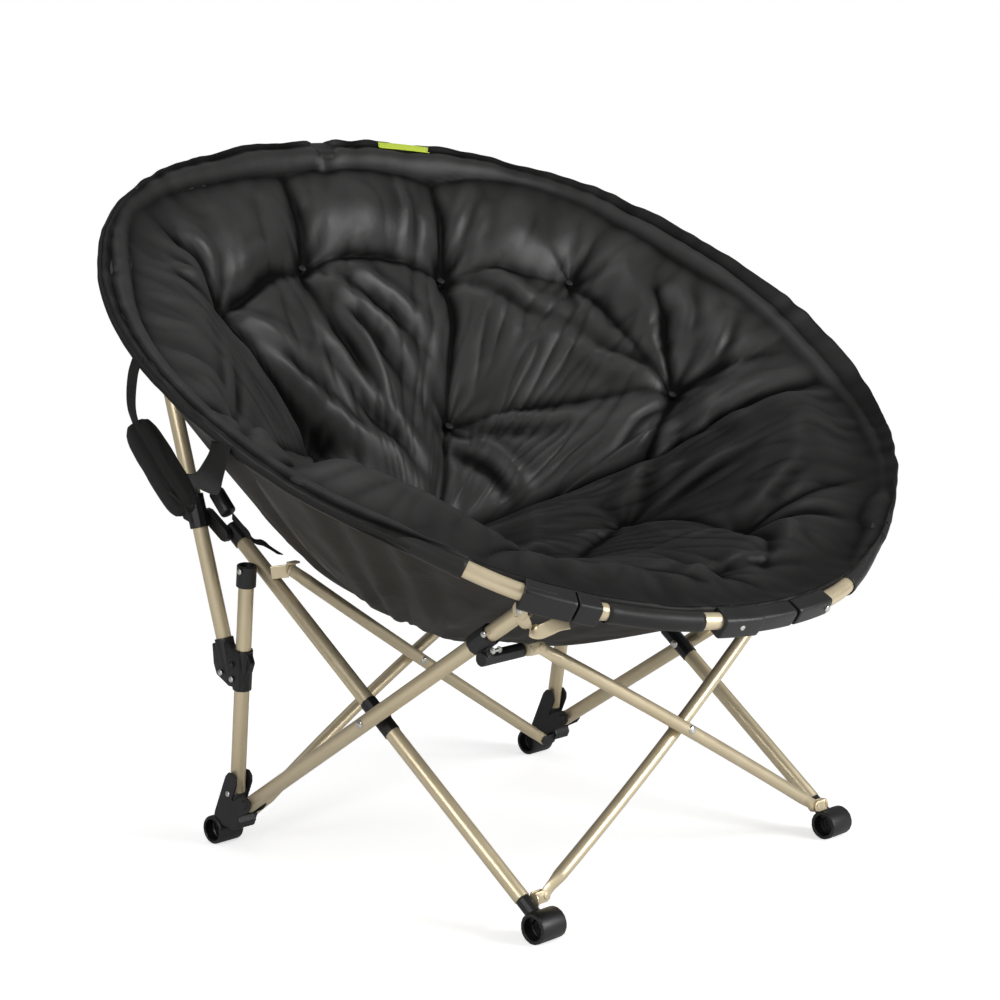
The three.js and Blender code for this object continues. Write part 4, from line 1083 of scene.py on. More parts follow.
def ring_faces(rings: int, sides: int, capped: bool) -> list:
    """Faces of a stack of rings.

    Args:
        rings: the number of rings.
        sides: the points in each ring.
        capped: whether the first and last ring are filled.

    Returns:
        The faces as index tuples.
    """
    faces = []
    for ring in range(rings - 1):
        low, high = ring * sides, (ring + 1) * sides
        for k in range(sides):
            n = (k + 1) % sides
            faces.append((low + k, low + n, high + n, high + k))
    if capped:
        faces.append(tuple(reversed(range(sides))))
        faces.append(tuple(range((rings - 1) * sides, rings * sides)))
    return faces


def flatten(piece: bpy.types.Object) -> None:
    """Gives a soft piece a mesh of its own."""
    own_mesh(piece)


@dataclass
class Bowl:
    """The outer cloth bowl, with its gathers and hanging folds, in millimetres."""

    sides: int = 480
    rows: int = 110
    wall: float = 1.6
    folds: tuple = (
        (3.62, 3.9, 0.5, 9.0, 0.035), (3.72, 4.2, 0.62, 8.0, 0.03), (3.5, 3.75, 0.45, 8.0, 0.035),
        (4.0, 4.05, 0.6, 7.0, 0.03), (4.28, 4.18, 0.55, 7.0, 0.035), (4.5, 4.62, 0.6, 8.0, 0.04),
        (4.72, 4.86, 0.5, 7.0, 0.035), (5.05, 4.95, 0.5, 7.0, 0.04), (3.2, 3.35, 0.5, 6.0, 0.04),
        (2.9, 3.02, 0.5, 6.0, 0.05), (5.4, 5.5, 0.5, 7.0, 0.05), (5.9, 5.8, 0.5, 6.0, 0.05),
        (0.4, 0.5, 0.5, 6.0, 0.06), (1.1, 1.0, 0.5, 6.0, 0.06), (1.9, 2.0, 0.5, 6.0, 0.06),
    )

    def build(self, box: Paintbox) -> None:
        """Builds the bowl as one sheet with a thin wall."""
        angle = np.linspace(0, FULL_TURN, self.sides, endpoint=False)[None, :]
        share = np.linspace(0.006, 1.0, self.rows)[:, None]
        angle, share = np.broadcast_arrays(angle, share)
        rise = -SAUCER.drop(share)
        rise = rise + 6 * share * (1 - share) * np.cos(angle * 8)
        for low, high, reach, height, width in self.folds:
            lane = low + (high - low) * (1 - share)
            off = (angle - lane + math.pi) % FULL_TURN - math.pi
            run = smooth_step(share, reach - 0.3, reach) * (1 - smooth_step(share, 0.93, 1.0))
            rise += height * run * np.sin(np.clip(off / width, -3.1, 3.1)) * np.exp(-((off / width / 2) ** 2))
        lanes = np.stack([np.cos(angle) * 3, np.sin(angle) * 3, share * 0.9 + 0 * angle], -1)
        rise += cloud(lanes, 1.4, 4.4) * 7 * np.sin(math.pi * np.clip(share, 0, 1))
        sharp = cloud(lanes, 3.4, 9.4)
        rise -= (1 - np.abs(sharp)) ** 5 * 4 * np.sin(math.pi * np.clip(share, 0, 1))
        rise = np.where(share > 0.985, rise - 8 * (share - 0.985) / 0.015, rise)
        edge = SAUCER.hem(angle)[0] + 0.02 * smooth_step(-np.sin(angle), 0.35, 0.8)
        points = SAUCER.place(angle, share * edge, rise)
        u, w, _ = SAUCER.flat(angle, 1.0)
        uvs = np.stack([u * share * 1.2, w * share * 1.2], -1) * MM
        bowl = mesh_object("cloth_bowl", points.reshape(-1, 3),
                           [tuple(reversed(range(self.sides))), *ring_faces(self.rows, self.sides, False)],
                           uvs.reshape(-1, 2))
        apply_modifier(bowl, "SOLIDIFY", thickness=self.wall * MM, offset=0.0)
        outward(bowl)
        fasten(bowl, "saucer", Finish.BOWL, box, "outer_bowl")
        flatten(bowl)

    @staticmethod
    def area(points: np.ndarray) -> float:
        """The area of the sheet's middle surface in square metres."""
        closed = np.concatenate([points, points[:, :1]], 1)
        a, b = closed[:-1, :-1], closed[1:, :-1]
        c, d = closed[1:, 1:], closed[:-1, 1:]
        first = np.linalg.norm(np.cross(b - a, c - a), axis=-1)
        second = np.linalg.norm(np.cross(c - a, d - a), axis=-1)
        return float((first.sum() + second.sum()) / 2)


@dataclass
class Rim:
    """The rim's tubes and the cloth sleeves on them, in millimetres."""

    radius: float = 9.75
    sleeve: float = 10.7
    corner_pitch: float = 18.0
    tube_start: float = 14.0
    front_corner: float = 308.0
    rear_corner: float = 322.0
    side_hinge: float = 480.0
    side_gap: float = 14.0
    rear_gap: float = 18.0
    centre_gap: float = 35.0

    def arcs(self) -> dict[str, tuple[float, float]]:
        """The angles of the four tubes of the left half."""
        front = SAUCER.angle_at(self.front_corner, LEFT_ANGLE, FRONT)
        rear = SAUCER.angle_at(self.rear_corner, (BACK + LEFT_ANGLE) / 2, BACK)
        split = SAUCER.angle_at(self.side_hinge, LEFT_ANGLE, FRONT)
        ahead = self.corner_pitch + self.tube_start
        return {
            "rim_front": (walk(front, FRONT, ahead), walk(FRONT, front, self.centre_gap)),
            "rim_side_front": (walk(front, split, ahead), walk(split, front, self.side_gap)),
            "rim_side_rear": (walk(rear, split, ahead), walk(split, rear, self.side_gap)),
            "rim_rear": (walk(rear, BACK, ahead), walk(BACK, rear, self.rear_gap)),
        }

    def build(self, box: Paintbox) -> None:
        """Builds the gold tubes and the cloth sleeves on both sides."""
        for word, (start, end) in self.arcs().items():
            for side in Side:
                mirror = side is Side.RIGHT
                name = f"{word}_{side.word}"
                path = SAUCER.line(start, end, 48, mirror)
                tube = sweep(f"{name}_tube", path, self.radius * MM, self.radius * MM, SAUCER.normal(), 28)
                fasten(crisp_ends(tube, 0.5 * MM), name, Finish.GOLD, box, name)
        split = self.arcs()["rim_side_front"][1]
        sleeves = (
            ("rim_front", Side.LEFT, front_angle(254), front_angle(140)),
            ("rim_front", Side.RIGHT, front_angle(284), front_angle(126)),
            ("rim_side_front", Side.LEFT, front_angle(388), split),
            ("rim_side_front", Side.RIGHT, front_angle(352), split),
        )
        for word, side, start, end in sleeves:
            self.build_sleeve(word, side, start, end, box)
        self.build_covers(box)
        rear_corner = SAUCER.angle_at(self.rear_corner, (BACK + LEFT_ANGLE) / 2, BACK)
        for side in Side:
            self.build_sleeve("rim_side_rear", side, rear_corner, split, box)
            self.build_sleeve("rim_rear", side, rear_corner, BACK - 0.004, box)

    def build_covers(self, box: Paintbox) -> None:
        """Black covers on the front tubes: over the corner hinges and over the hinge in the middle."""
        shapes = (
            ("corner_cover", "rim_cover", Side.LEFT, 338, 289, 14.5, 14.0, -1.5),
            ("corner_cover", "rim_cover", Side.RIGHT, 334, 292, 12.8, 12.4, -1.5),
            ("corner_collar", "rim_front", Side.LEFT, 287, 263, 14.0, 13.4, -1.5),
            ("corner_collar", "rim_front", Side.RIGHT, 287, 263, 13.0, 12.4, -1.0),
            ("hinge_box", "rim_front", Side.LEFT, 116, 60, 14.5, 14.0, -2.5),
            ("hinge_link", "rim_front", Side.LEFT, 64, 3, 12.0, 11.6, -1.5),
            ("hinge_link", "rim_front", Side.RIGHT, 66, 3, 12.0, 11.6, -1.5),
        )
        nodes = {
            ("corner_cover", Side.LEFT): "rim_cover_left",
            ("corner_cover", Side.RIGHT): "rim_cover_right",
            ("hinge_box", Side.LEFT): "front_hinge_left",
            ("hinge_link", Side.RIGHT): "front_hinge_right",
        }
        for word, body, side, wide, narrow, deep, high, rise in shapes:
            path = SAUCER.line(front_angle(wide), front_angle(narrow), 16, side is Side.RIGHT, rise)
            name = f"{word}_{side.word}"
            cover = sweep(name, path, deep * MM, high * MM, SAUCER.normal(), 32, 0.42)
            replaced = [nodes[word, side]] if (word, side) in nodes else []
            fasten(crisp_ends(cover, 1.4 * MM), f"{body}_{side.word}", Finish.PLASTIC, box, *replaced)
        for name, body, side, at in (("hinge_box_rivet", "rim_front_left", Side.LEFT, 92),
                                     ("hinge_link_rivet", "rim_front_right", Side.RIGHT, 58)):
            angle = front_angle(at)
            middle = Vector(SAUCER.line(angle, angle, 1, side is Side.RIGHT, -3.0)[0])
            out = Vector((0.0, -1.0, -0.25)).normalized() * 14.2 * MM
            fasten(rivet(name, middle - out, middle + out, 4.2 * MM, 1.6 * MM), body, Finish.ZINC, box)

    def build_sleeve(self, word: str, side: Side, start: float, end: float, box: Paintbox) -> None:
        """One hemmed cloth sleeve round a stretch of the rim."""
        mirror = side is Side.RIGHT
        count = max(24, int(abs(end - start) * 120))
        path = SAUCER.line(start, end, count, mirror, -1.0)
        lump = cloud(path * 1.0, 26.0, 3.0 + side.value)
        ends = np.minimum(np.arange(count), np.arange(count)[::-1])
        hem = 1.0 + 0.05 * (ends < 3)
        width = (self.sleeve + 0.7 * lump) * hem * MM
        depth = (self.sleeve + 0.8 + 0.9 * lump) * hem * MM
        name = f"{word}_{side.word}"
        piece = sweep(f"{name}_sleeve", path, depth, width, SAUCER.normal(), 24, capped=False)
        apply_modifier(piece, "SOLIDIFY", thickness=0.9 * MM, offset=-1.0)
        fasten(piece, name, Finish.CUSHION, box)


def front_angle(half_width: float) -> float:
    """The angle at which the front of the rim's left half passes a half-width."""
    return SAUCER.angle_at(half_width, LEFT_ANGLE, FRONT)


def walk(start: float, end: float, distance: float) -> float:
    """The rim's angle at a distance in millimetres from one angle towards another."""
    angles = np.linspace(start, end, 2000)
    points = SAUCER.place(angles, 1.0) / MM
    reach = np.concatenate([[0], np.cumsum(np.linalg.norm(np.diff(points, axis=0), axis=1))])
    return float(np.interp(distance, reach, angles))


@dataclass
class Legs:
    """Side legs, rear posts and crossed braces of round tube, in millimetres."""

    leg_radius: float = 9.5
    brace_radius: float = 8.0
    outer_foot: tuple = (289, 196.6, 62.6)
    outer_head: tuple = (306, -276, 381.5)
    inner_foot: tuple = (268.4, -243, 41)
    inner_head: tuple = (274.3, 236.9, 394.6)
    lower_foot: tuple = (288.4, 225.6, 71.8)
    lower_head: tuple = (298.8, 189, 352.7)
    upper_foot: tuple = (299, 224, 236)
    upper_head: tuple = (323, 366, 788)
    overhang: float = 9.0
    front_top: tuple = (228, -220.4, 320.2)
    front_bottom: tuple = (242, -259.5, 42)
    rear_top: tuple = (270.5, 145.9, 362.7)
    rear_bottom: tuple = (260.5, 224.6, 32.4)
    front_bow: float = 9.0
    rear_bow: float = -18.0
    passing: float = 17.0
    rear_lean: float = math.radians(-3.5)

    def build(self, box: Paintbox) -> None:
        """Builds every tube and the rivets where they cross."""
        for side in Side:
            word = side.word
            foot, head = side.place(*self.outer_foot), side.place(*self.outer_head)
            run = (head - foot).normalized() * self.overhang * MM
            bar = round_bar(f"outer_leg_tube_{word}", foot - run, head + run, self.leg_radius * MM)
            fasten(bar, f"outer_leg_{word}", Finish.GOLD, box, f"outer_leg_{word}")
            foot, head = side.place(*self.inner_foot), side.place(*self.inner_head)
            run = (head - foot).normalized() * self.overhang * MM
            bar = round_bar(f"inner_leg_tube_{word}", foot, head + run, self.leg_radius * MM)
            fasten(bar, f"inner_leg_{word}", Finish.GOLD, box, f"inner_leg_{word}")
            for part in ("lower", "upper"):
                ends = [side.place(*getattr(self, f"{part}_{end}")) for end in ("foot", "head")]
                bar = round_bar(f"{part}_post_tube_{word}", *ends, self.leg_radius * MM)
                fasten(bar, f"rear_post_{word}", Finish.GOLD, box, f"{part}_post_{word}")
        self.build_pair("front_brace", self.front_top, self.front_bottom, self.front_bow, 0.0, box)
        self.build_pair("rear_brace", self.rear_top, self.rear_bottom, self.rear_bow, self.rear_lean, box)

    def facing(self, top: tuple, bottom: tuple, lean: float) -> Vector:
        """The direction square to a pair of braces, towards the front."""
        up = Vector((0, top[1] - bottom[1], top[2] - bottom[2])).normalized()
        up.rotate(Matrix.Rotation(lean, 3, "X"))
        return -up.cross(Vector((1, 0, 0)))

    def build_pair(
        self, word: str, top: tuple, bottom: tuple, bow: float, lean: float, box: Paintbox,
    ) -> None:
        """Two bowed tubes with flattened ends that pass each other, and their rivet.

        Args:
            word: the pair's name.
            top: half-width, depth and height of the upper pivots.
            bottom: the same for the lower pivots.
            bow: how far the tubes bow towards the front.
            lean: how far the pins lean.
            box: the materials.
        """
        facing = self.facing(top, bottom, lean)
        for side, order in ((Side.RIGHT, 1), (Side.LEFT, -1)):
            offset = facing * (order * self.passing / 2 * MM)
            start = side.place(*bottom) + offset
            end = Vector((-side.value * top[0], top[1], top[2])) * MM + offset
            path, wide, thin = self.bowed(start, end, facing, bow * MM)
            across = (end - start).cross(facing).normalized()
            name = f"{word}_from_{side.word}"
            tube = sweep(f"{name}_tube", path, wide, thin, across, 28)
            fasten(crisp_ends(tube, 0.4 * MM), name, Finish.GOLD, box, name)
        share = bottom[0] / (top[0] + bottom[0])
        middle = (Vector((0, *bottom[1:])).lerp(Vector((0, *top[1:])), share)) * MM + facing * bow * MM
        half = facing * (self.passing / 2 + self.brace_radius) * MM
        pin = rivet(f"{word}_crossing_rivet", middle - half, middle + half)
        fasten(pin, f"{word}_from_left", Finish.ZINC, box, f"{word}_rivet")

    def bowed(self, start: Vector, end: Vector, facing: Vector, bow: float) -> tuple:
        """The centre line of a bowed tube and its half sizes where it flattens at its ends."""
        length = (end - start).length
        ends = (9 * MM, 16 * MM, 30 * MM)
        stations = [-7 * MM, -6 * MM, -3 * MM, *ends, *np.linspace(34 * MM, length - 34 * MM, 40)]
        stations += [length - e for e in reversed(ends)]
        stations += [length + 3 * MM, length + 6 * MM, length + 7 * MM]
        run = (end - start) / length
        path, wide, thin = [], [], []
        for along in stations:
            near = min(along, length - along)
            flat = float(smooth_step(np.array(near), 12 * MM, 34 * MM))
            share = min(max((along - 18 * MM) / (length - 36 * MM), 0.0), 1.0)
            rise = 4 * bow * share * (1 - share)
            path.append(start + run * along + facing * rise)
            tip = 1.0 if near > -2 * MM else math.sqrt(max(0.05, 1 - ((near + 2 * MM) / (5.2 * MM)) ** 2))
            wide.append((7.4 * MM + (self.brace_radius - 7.4) * flat * MM) * tip)
            thin.append((1.9 + (self.brace_radius - 1.9) * flat) * MM)
        return np.array([tuple(p) for p in path]), np.array(wide), np.array(thin)


@dataclass
class Feet:
    """Roller feet with a dished outer face, in millimetres."""

    radius: float = 18.0
    half_length: float = 19.0
    lip: float = 13.6
    web: float = 5.0
    corner: float = 2.6
    lift: float = 17.65
    rear: tuple = (286.3, 256.9)
    front: tuple = (266.8, -274.5)

    def build(self, frame: dict, box: Paintbox) -> None:
        """Builds the four feet, with the necks of the front ones."""
        for side in Side:
            self.roller(f"rear_foot_roller_{side.word}", side, self.rear, f"rear_foot_{side.word}",
                        (f"rear_foot_{side.word}",), box)
            self.roller(f"front_foot_roller_{side.word}", side, self.front, f"inner_leg_{side.word}", (), box)
            neck = refined(f"front_foot_{side.word}", f"front_foot_neck_{side.word}", frame, 0.8 * MM, 4)
            fasten(neck, f"inner_leg_{side.word}", Finish.PLASTIC, box, f"front_foot_{side.word}")

    def roller(self, name: str, side: Side, place: tuple, body: str, nodes: tuple, box: Paintbox) -> None:
        """One turned roller along X."""
        r, h, lip, web, c = self.radius, self.half_length, self.lip, self.web, self.corner
        rim = [
            (r - c * (1 - math.cos(t)), -h + c * (1 - math.sin(t)))
            for t in np.linspace(math.pi / 2, 0, 6)
        ]
        low = [
            (0, -web), (lip * 0.3, -web), (lip * 0.32, -web - 1.5), (lip * 0.5, -web - 1.5),
            (lip * 0.52, -web), (lip - 1, -web), (lip, -web - 1), (lip, -h + 0.8), (lip + 0.8, -h), *rim,
        ]
        profile = [*low, *[(a, -b) for a, b in reversed(low)]]
        start = side.place(place[0], place[1], self.lift)
        turned = lathe(name, [(a * MM, b * MM) for a, b in profile], start, Vector((1, 0, 0)), 56)
        fasten(turned, body, Finish.PLASTIC, box, *nodes)


@dataclass
class Fittings:
    """Moulded fittings, sheet-metal clevises, post caps and small rivets."""

    moulded: tuple = (
        ("leg_sleeve", "inner_leg"), ("inner_leg_cap", "inner_leg"), ("rear_bracket", "rear_foot"),
        ("post_block", "rear_post"), ("post_collar", "rear_post"),
        ("brace_clamp", "outer_leg"), ("rim_fitting", "outer_leg"),
        ("rear_rim_bracket", "rear_post"),
    )
    metal: tuple = (
        ("front_clevis", "front_clevis"), ("front_top_clevis", "front_top_clevis"),
        ("rear_top_clevis", "rear_post"),
    )
    small_rivets: dict = field(default_factory=lambda: {
        "clamp_rivet": ("outer_leg", 319.3, -231.0, 351.5, 12.0),
        "clamp_screw": ("outer_leg", 311.5, -238.0, 333.0, 10.0),
        "block_rivet": ("rear_post", 312.4, 226.5, 227.0, 12.0),
        "block_screw": ("rear_post", 310.6, 208.0, 221.5, 12.0),
        "block_button": ("rear_post", 310.9, 207.0, 240.0, 12.0),
        "cap_screw": ("rear_post", 312.5, 186.5, 359.0, 10.0),
        "bracket_rivet": ("rear_foot", 302.5, 228.0, 70.0, 12.0),
    })

    def build(self, frame: dict, box: Paintbox) -> None:
        """Builds both sides' fittings and their rivets."""
        for side in Side:
            for node, body in self.moulded:
                name = f"{node}_{side.word}"
                piece = refined(name, f"{node}_moulding_{side.word}", frame, 0.7 * MM, 5)
                if node == "rear_rim_bracket":
                    shift = SAUCER.normal() * -9.0 + Vector((-side.value * 5.0, -5.0, 0.0))
                    piece.data.transform(Matrix.Translation(shift * MM))
                elif name == "rim_fitting_right":
                    piece.data.transform(Matrix.Translation(Vector((-11.0, 10.0, 4.0)) * MM))
                fasten(piece, f"{body}_{side.word}", Finish.PLASTIC, box, name)
            for node, body in self.metal:
                name = f"{node}_{side.word}"
                piece = plated(name, f"{node}_plate_{side.word}", frame, 0.35 * MM)
                fasten(piece, f"{body}_{side.word}", Finish.GOLD, box, name)
            low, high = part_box(f"side_rivet_{side.word}")
            middle = (low + high) / 2
            inner, outer = Vector((low.x, middle.y, middle.z)), Vector((high.x, middle.y, middle.z))
            shy = Vector((2.4 * MM, 0, 0))
            pin = rivet(f"crossing_rivet_{side.word}", inner + shy, outer - shy)
            fasten(pin, f"outer_leg_{side.word}", Finish.ZINC, box, f"side_rivet_{side.word}")
            self.build_head(side, box)
            self.build_post(side, box)
            for name, (body, x, y, z, depth) in self.small_rivets.items():
                at = side.place(x, y, z)
                inward = Vector((-side.value * depth, 0, 0)) * MM
                head = rivet(f"{name}_{side.word}", at, at + inward, 3.9 * MM, 1.7 * MM, 2.0 * MM)
                finish = Finish.PLASTIC if name == "block_button" else Finish.ZINC
                fasten(head, f"{body}_{side.word}", finish, box)

    def build_post(self, side: Side, box: Paintbox) -> None:
        """The web of the post's block, the post's cap and the bent link from it to the brace."""
        body = f"rear_post_{side.word}"
        outline = (
            (246, 260), (244, 235), (238.5, 222), (216, 211),
            (196, 211), (196, 257), (210, 259.5), (215, 267),
        )
        count = len(outline)
        points = [side.place(x, y, z) for x in (299.5, 308.5) for y, z in outline]
        faces = [tuple(range(count)), tuple(reversed(range(count, 2 * count)))]
        faces += [(k, (k + 1) % count, count + (k + 1) % count, count + k) for k in range(count)]
        web = crisp_ends(outward(mesh_object(f"post_block_web_{side.word}", points, faces)), 1.6 * MM)
        fasten(web, body, Finish.PLASTIC, box)
        foot, head = side.place(298.0, 191.6, 338.0), side.place(299.0, 188.0, 365.0)
        wall, lip, deep = 12.2 * MM, 9.4 * MM, 5.0 * MM
        high = (head - foot).length
        edge = 0.8 * MM
        profile = [
            (0, 0), (wall - edge, 0), (wall, edge), (wall, high - edge), (wall - edge, high),
            (lip, high), (lip - 0.6 * MM, high - deep), (0, high - deep),
        ]
        cap = lathe(f"post_cap_shell_{side.word}", profile, foot, head - foot, 40)
        fasten(cap, body, Finish.PLASTIC, box, f"post_cap_{side.word}")
        route = ((283, 162, 357), (279, 156, 358), (275, 151, 359), (271, 145, 360))
        link = smooth_route(route, 16) * MM * np.array([side.value, 1, 1])
        plate = sweep(f"post_link_{side.word}", link, 8.0 * MM, 1.2 * MM, np.array([0, 0, 1.0]), 20, 0.4)
        fasten(crisp_ends(plate, 0.3 * MM), body, Finish.GOLD, box)
        start, end = side.place(290, 255, 446), side.place(290, 231, 422)
        roll = round_bar(f"leg_head_roll_{side.word}", start, end, 10.0 * MM, 2.5 * MM)
        fasten(roll, f"inner_leg_{side.word}", Finish.PLASTIC, box)

    def build_head(self, side: Side, box: Paintbox) -> None:
        """The gold end plate of an outer leg and the bent plate under the corner cover."""
        pivot = (0.0, -284.0, 386.0)
        outer, inner = side.place(318.5, *pivot[1:]), side.place(316.0, *pivot[1:])
        disc = round_bar(f"leg_end_plate_{side.word}", outer, inner, 10.5 * MM)
        body = f"outer_leg_{side.word}"
        fasten(disc, body, Finish.GOLD, box)
        fasten(rivet(f"leg_end_rivet_{side.word}", outer, inner, 4.6 * MM, 1.8 * MM), body, Finish.ZINC, box)
        route = (
            (317, -286, 381), (311, -288, 369), (303, -296, 362),
            (296, -305, 366), (288, -312, 371), (278, -319, 373),
        )
        path = smooth_route(route, 30) * MM * np.array([side.value, 1, 1])
        across = np.array([0.5 * side.value, 0.6, 0.6])
        plate = sweep(f"bent_plate_{side.word}", path, 8.0 * MM, 1.1 * MM, across, 20, 0.4)
        fasten(crisp_ends(plate, 0.3 * MM), body, Finish.GOLD, box)


@dataclass
class Straps:
    """The folded pouch on its strap, the wide side strap and the legs' thin straps, in millimetres."""

    pouch_centre: tuple = (550, 30, 532)
    pouch_size: tuple = (30, 41, 120)
    lean: float = math.radians(-46)

    def build(self, box: Paintbox) -> None:
        """Builds the pouch and all straps."""
        side = Side.LEFT
        centre = side.place(*self.pouch_centre)
        bpy.ops.object.select_all(action="DESELECT")
        bpy.ops.mesh.primitive_cube_add(size=1.0, location=centre, scale=[s * MM for s in self.pouch_size],
                                        rotation=(self.lean, 0, 0))
        pad = settle(bpy.context.active_object, "folded_pouch")
        bpy.ops.object.mode_set(mode="EDIT")
        bpy.ops.mesh.select_all(action="SELECT")
        bpy.ops.mesh.subdivide(number_cuts=14)
        bpy.ops.object.mode_set(mode="OBJECT")
        turn = Matrix.Rotation(self.lean, 3, "X")
        for vertex in pad.data.vertices:
            local = turn.inverted() @ (vertex.co - centre)
            x, y, z = (local[i] / (self.pouch_size[i] * MM / 2) for i in range(3))
            corner = 1 - 0.1 * abs(y) ** 3 * abs(z) ** 3
            round_off = math.sqrt(max(0.0, 1 - 0.72 * y * y)) * (1 - 0.3 * z ** 6)
            groove = 0.45 * math.exp(-((y + 0.35) / 0.10) ** 2)
            local.x = x * (1 - groove) * round_off * self.pouch_size[0] * MM / 2
            local.y *= (1 - 0.12 * z ** 4) * corner
            local.z *= corner
            local.y += 2.0 * MM * noise.noise(Vector((z * 3, x, 2.0)))
            local.z += 2.5 * MM * noise.noise(Vector((y * 3, x, 5.0)))
            vertex.co = centre + turn @ local
        apply_modifier(pad, "SUBSURF", levels=1, render_levels=1)
        bpy.ops.object.shade_smooth()
        fasten(pad, "saucer", Finish.WEBBING, box, "pouch_left")
        flatten(pad)
        self.ribbon("pouch_strap", (
            (-541, 79, 646), (-550, 76, 630), (-558, 70, 608),
            (-560, 66, 590), (-556, 62, 572), (-556, 52, 560),
        ), 8.5, 1.2, box)
        self.ribbon("pouch_flap", (
            (-560, 4, 508), (-556, -4, 500), (-550, -8, 489), (-545, -8, 478),
        ), 11.0, 1.4, box)
        self.ribbon("side_strap", (
            (-534, -52, 566), (-537, -50, 550), (-530, -32, 530), (-508, 4, 513), (-470, 62, 500),
            (-420, 140, 488), (-370, 212, 476), (-334, 256, 462), (-322, 262, 450),
        ), 17.0, 1.3, box, "side_strap_left")
        for side in Side:
            route = np.array((
                (286, 229, 418), (287, 207, 405), (288, 189, 396), (287, 168, 391), (285, 143, 383),
            ))
            turned = tuple(map(tuple, route * [side.value, 1, 1]))
            self.ribbon(f"leg_strap_{side.word}", turned, 6.0, 0.8, box, body=f"inner_leg_{side.word}")

    def ribbon(self, name: str, route: tuple, half_wide: float, half_thick: float, box: Paintbox,
               *nodes: str, body: str = "saucer") -> None:
        """A flat webbing strap along a smooth route, on the saucer or on another body."""
        points = smooth_route(route, 40) * MM
        across = np.array([0.15, 1.0, 0.25])
        strap = sweep(name, points, half_wide * MM, half_thick * MM, across, 24, 0.45)
        fasten(strap, body, Finish.WEBBING, box, *nodes)
        if body == "saucer":
            flatten(strap)


def smooth_route(route: tuple, count: int) -> np.ndarray:
    """Points on a smooth curve through the given ones."""
    given = np.array(route, float)
    padded = np.concatenate([[2 * given[0] - given[1]], given, [2 * given[-1] - given[-2]]])
    made = []
    for share in np.linspace(0, len(given) - 1 - 1e-6, count):
        k = int(share)
        t = share - k
        a, b, c, d = padded[k:k + 4]
        made.append(0.5 * (2 * b + (c - a) * t + (2 * a - 5 * b + 4 * c - d) * t ** 2
                           + (3 * b - a - 3 * c + d) * t ** 3))
    return np.array(made)


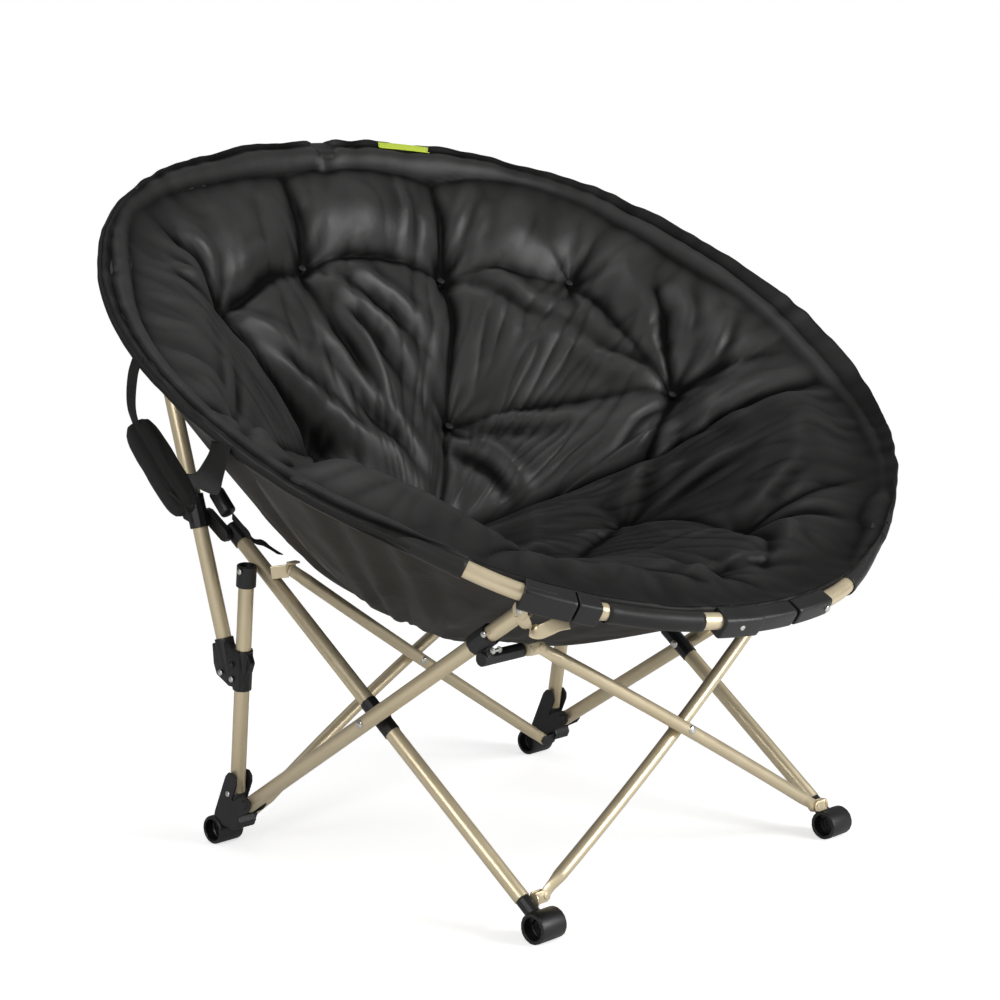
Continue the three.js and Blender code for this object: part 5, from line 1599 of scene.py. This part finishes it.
@dataclass
class Studio:
    """The floor, the lights and the camera."""

    aim: Vector = field(default_factory=lambda: Vector((0.0, 0.1141, 0.3939)))
    azimuth: float = math.radians(-45.25)
    elevation: float = math.radians(10.46)
    distance: float = 3.1425
    lens: float = 89.1
    shift: tuple = (0.0354, 0.0175)

    def build(self) -> None:
        """Sets the view, the world, the lamps, the floor and the camera."""
        scene = bpy.context.scene
        scene.view_settings.view_transform = "Standard"
        self.build_world(scene)
        self.lamp("key_softbox", Vector((1.2, -2.9, 1.45)), 1.3, 78.0)
        self.lamp("top_softbox", Vector((-0.3, 0.2, 3.4)), 2.0, 22.0)
        self.lamp("side_softbox", Vector((-2.7, -0.9, 1.5)), 1.2, 30.0)
        self.build_floor()
        camera = bpy.data.objects.new("photo_view", bpy.data.cameras.new("photo_view"))
        away = Vector((
            math.sin(self.azimuth) * math.cos(self.elevation),
            -math.cos(self.azimuth) * math.cos(self.elevation),
            math.sin(self.elevation),
        ))
        camera.location = self.aim + away * self.distance
        camera.rotation_euler = (-away).to_track_quat("-Z", "Y").to_euler()
        camera.data.lens = self.lens
        camera.data.sensor_width = 36.0
        camera.data.shift_x, camera.data.shift_y = self.shift
        scene.collection.objects.link(camera)
        scene.camera = camera

    def lamp(self, name: str, place: Vector, size: float, power: float) -> None:
        """One square area light that faces the chair."""
        data = bpy.data.lights.new(name, "AREA")
        data.shape = "SQUARE"
        data.size = size
        data.energy = power
        lamp = bpy.data.objects.new(name, data)
        lamp.location = place
        lamp.rotation_euler = (self.aim - place).to_track_quat("-Z", "Y").to_euler()
        bpy.context.scene.collection.objects.link(lamp)

    def build_world(self, scene: bpy.types.Scene) -> None:
        """A studio world: brighter above, and plain white where the camera sees it."""
        world = bpy.data.worlds.new("studio")
        world.use_nodes = True
        scene.world = world
        pen = NodePen(world.node_tree)
        world.node_tree.nodes.clear()
        place = pen.add("ShaderNodeTexCoord")
        parts = pen.add("ShaderNodeSeparateXYZ", {"Vector": place.outputs["Generated"]})
        level = pen.add("ShaderNodeMapRange", {
            "Value": parts.outputs["Z"], "From Min": -0.1, "From Max": 0.9, "To Min": 0.12, "To Max": 0.34,
        })
        light = pen.add("ShaderNodeBackground", {"Color": (1, 1, 1, 1), "Strength": level.outputs["Result"]})
        plain = pen.add("ShaderNodeBackground", {"Color": (1, 1, 1, 1), "Strength": 1.0})
        path = pen.add("ShaderNodeLightPath")
        mix = pen.add("ShaderNodeMixShader", {0: path.outputs["Is Camera Ray"]})
        pen.tree.links.new(light.outputs[0], mix.inputs[1])
        pen.tree.links.new(plain.outputs[0], mix.inputs[2])
        out = pen.add("ShaderNodeOutputWorld")
        pen.tree.links.new(mix.outputs[0], out.inputs["Surface"])

    def build_floor(self) -> None:
        """A plain pale floor that fades into white away from the chair."""
        bpy.ops.object.select_all(action="DESELECT")
        bpy.ops.mesh.primitive_plane_add(size=24.0, location=(0, 0, -0.0005))
        floor = settle(bpy.context.active_object, "studio_floor")
        material, pen, shader = start_material("pale_floor")
        shader.inputs["Base Color"].default_value = (0.86, 0.86, 0.86, 1)
        shader.inputs["Roughness"].default_value = 0.75
        shader.inputs["Specular IOR Level"].default_value = 0.15
        place = pen.add("ShaderNodeTexCoord")
        reach = pen.add("ShaderNodeVectorMath", {0: place.outputs["Object"]}, operation="LENGTH")
        fade = pen.add("ShaderNodeMapRange", {
            "Value": reach.outputs["Value"], "From Min": 0.55, "From Max": 1.5,
        }, interpolation_type="SMOOTHSTEP")
        white = pen.add("ShaderNodeEmission", {"Color": (1, 1, 1, 1), "Strength": 1.0})
        lift = pen.add("ShaderNodeEmission", {"Color": (1, 1, 1, 1), "Strength": 0.60})
        path = pen.add("ShaderNodeLightPath")
        glow = pen.add("ShaderNodeMixShader", {0: path.outputs["Is Camera Ray"]})
        plain = pen.add("ShaderNodeEmission", {"Color": (1, 1, 1, 1), "Strength": 0.0})
        pen.tree.links.new(plain.outputs[0], glow.inputs[1])
        pen.tree.links.new(lift.outputs[0], glow.inputs[2])
        raised = pen.add("ShaderNodeAddShader")
        pen.tree.links.new(shader.outputs[0], raised.inputs[0])
        pen.tree.links.new(glow.outputs[0], raised.inputs[1])
        seen = pen.math("MULTIPLY", fade.outputs["Result"], path.outputs["Is Camera Ray"])
        mix = pen.add("ShaderNodeMixShader", {0: seen})
        pen.tree.links.new(raised.outputs[0], mix.inputs[1])
        pen.tree.links.new(white.outputs[0], mix.inputs[2])
        out = material.node_tree.nodes["Material Output"]
        pen.tree.links.new(mix.outputs[0], out.inputs["Surface"])
        floor.data.materials.append(material)


def main() -> None:
    """Loads the frame, builds the chair's looks and reports every piece."""
    logging.basicConfig(level=logging.INFO, format="%(name)s: %(message)s")
    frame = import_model()
    bpy.ops.object.select_all(action="DESELECT")
    Studio().build()
    box = Paintbox()
    Legs().build(box)
    Feet().build(frame, box)
    Fittings().build(frame, box)
    Rim().build(box)
    Bowl().build(box)
    Cushion().build(box)
    Straps().build(box)
    LOG.info("%d pieces", len(PIECES))


if __name__ == "__main__":
    main()
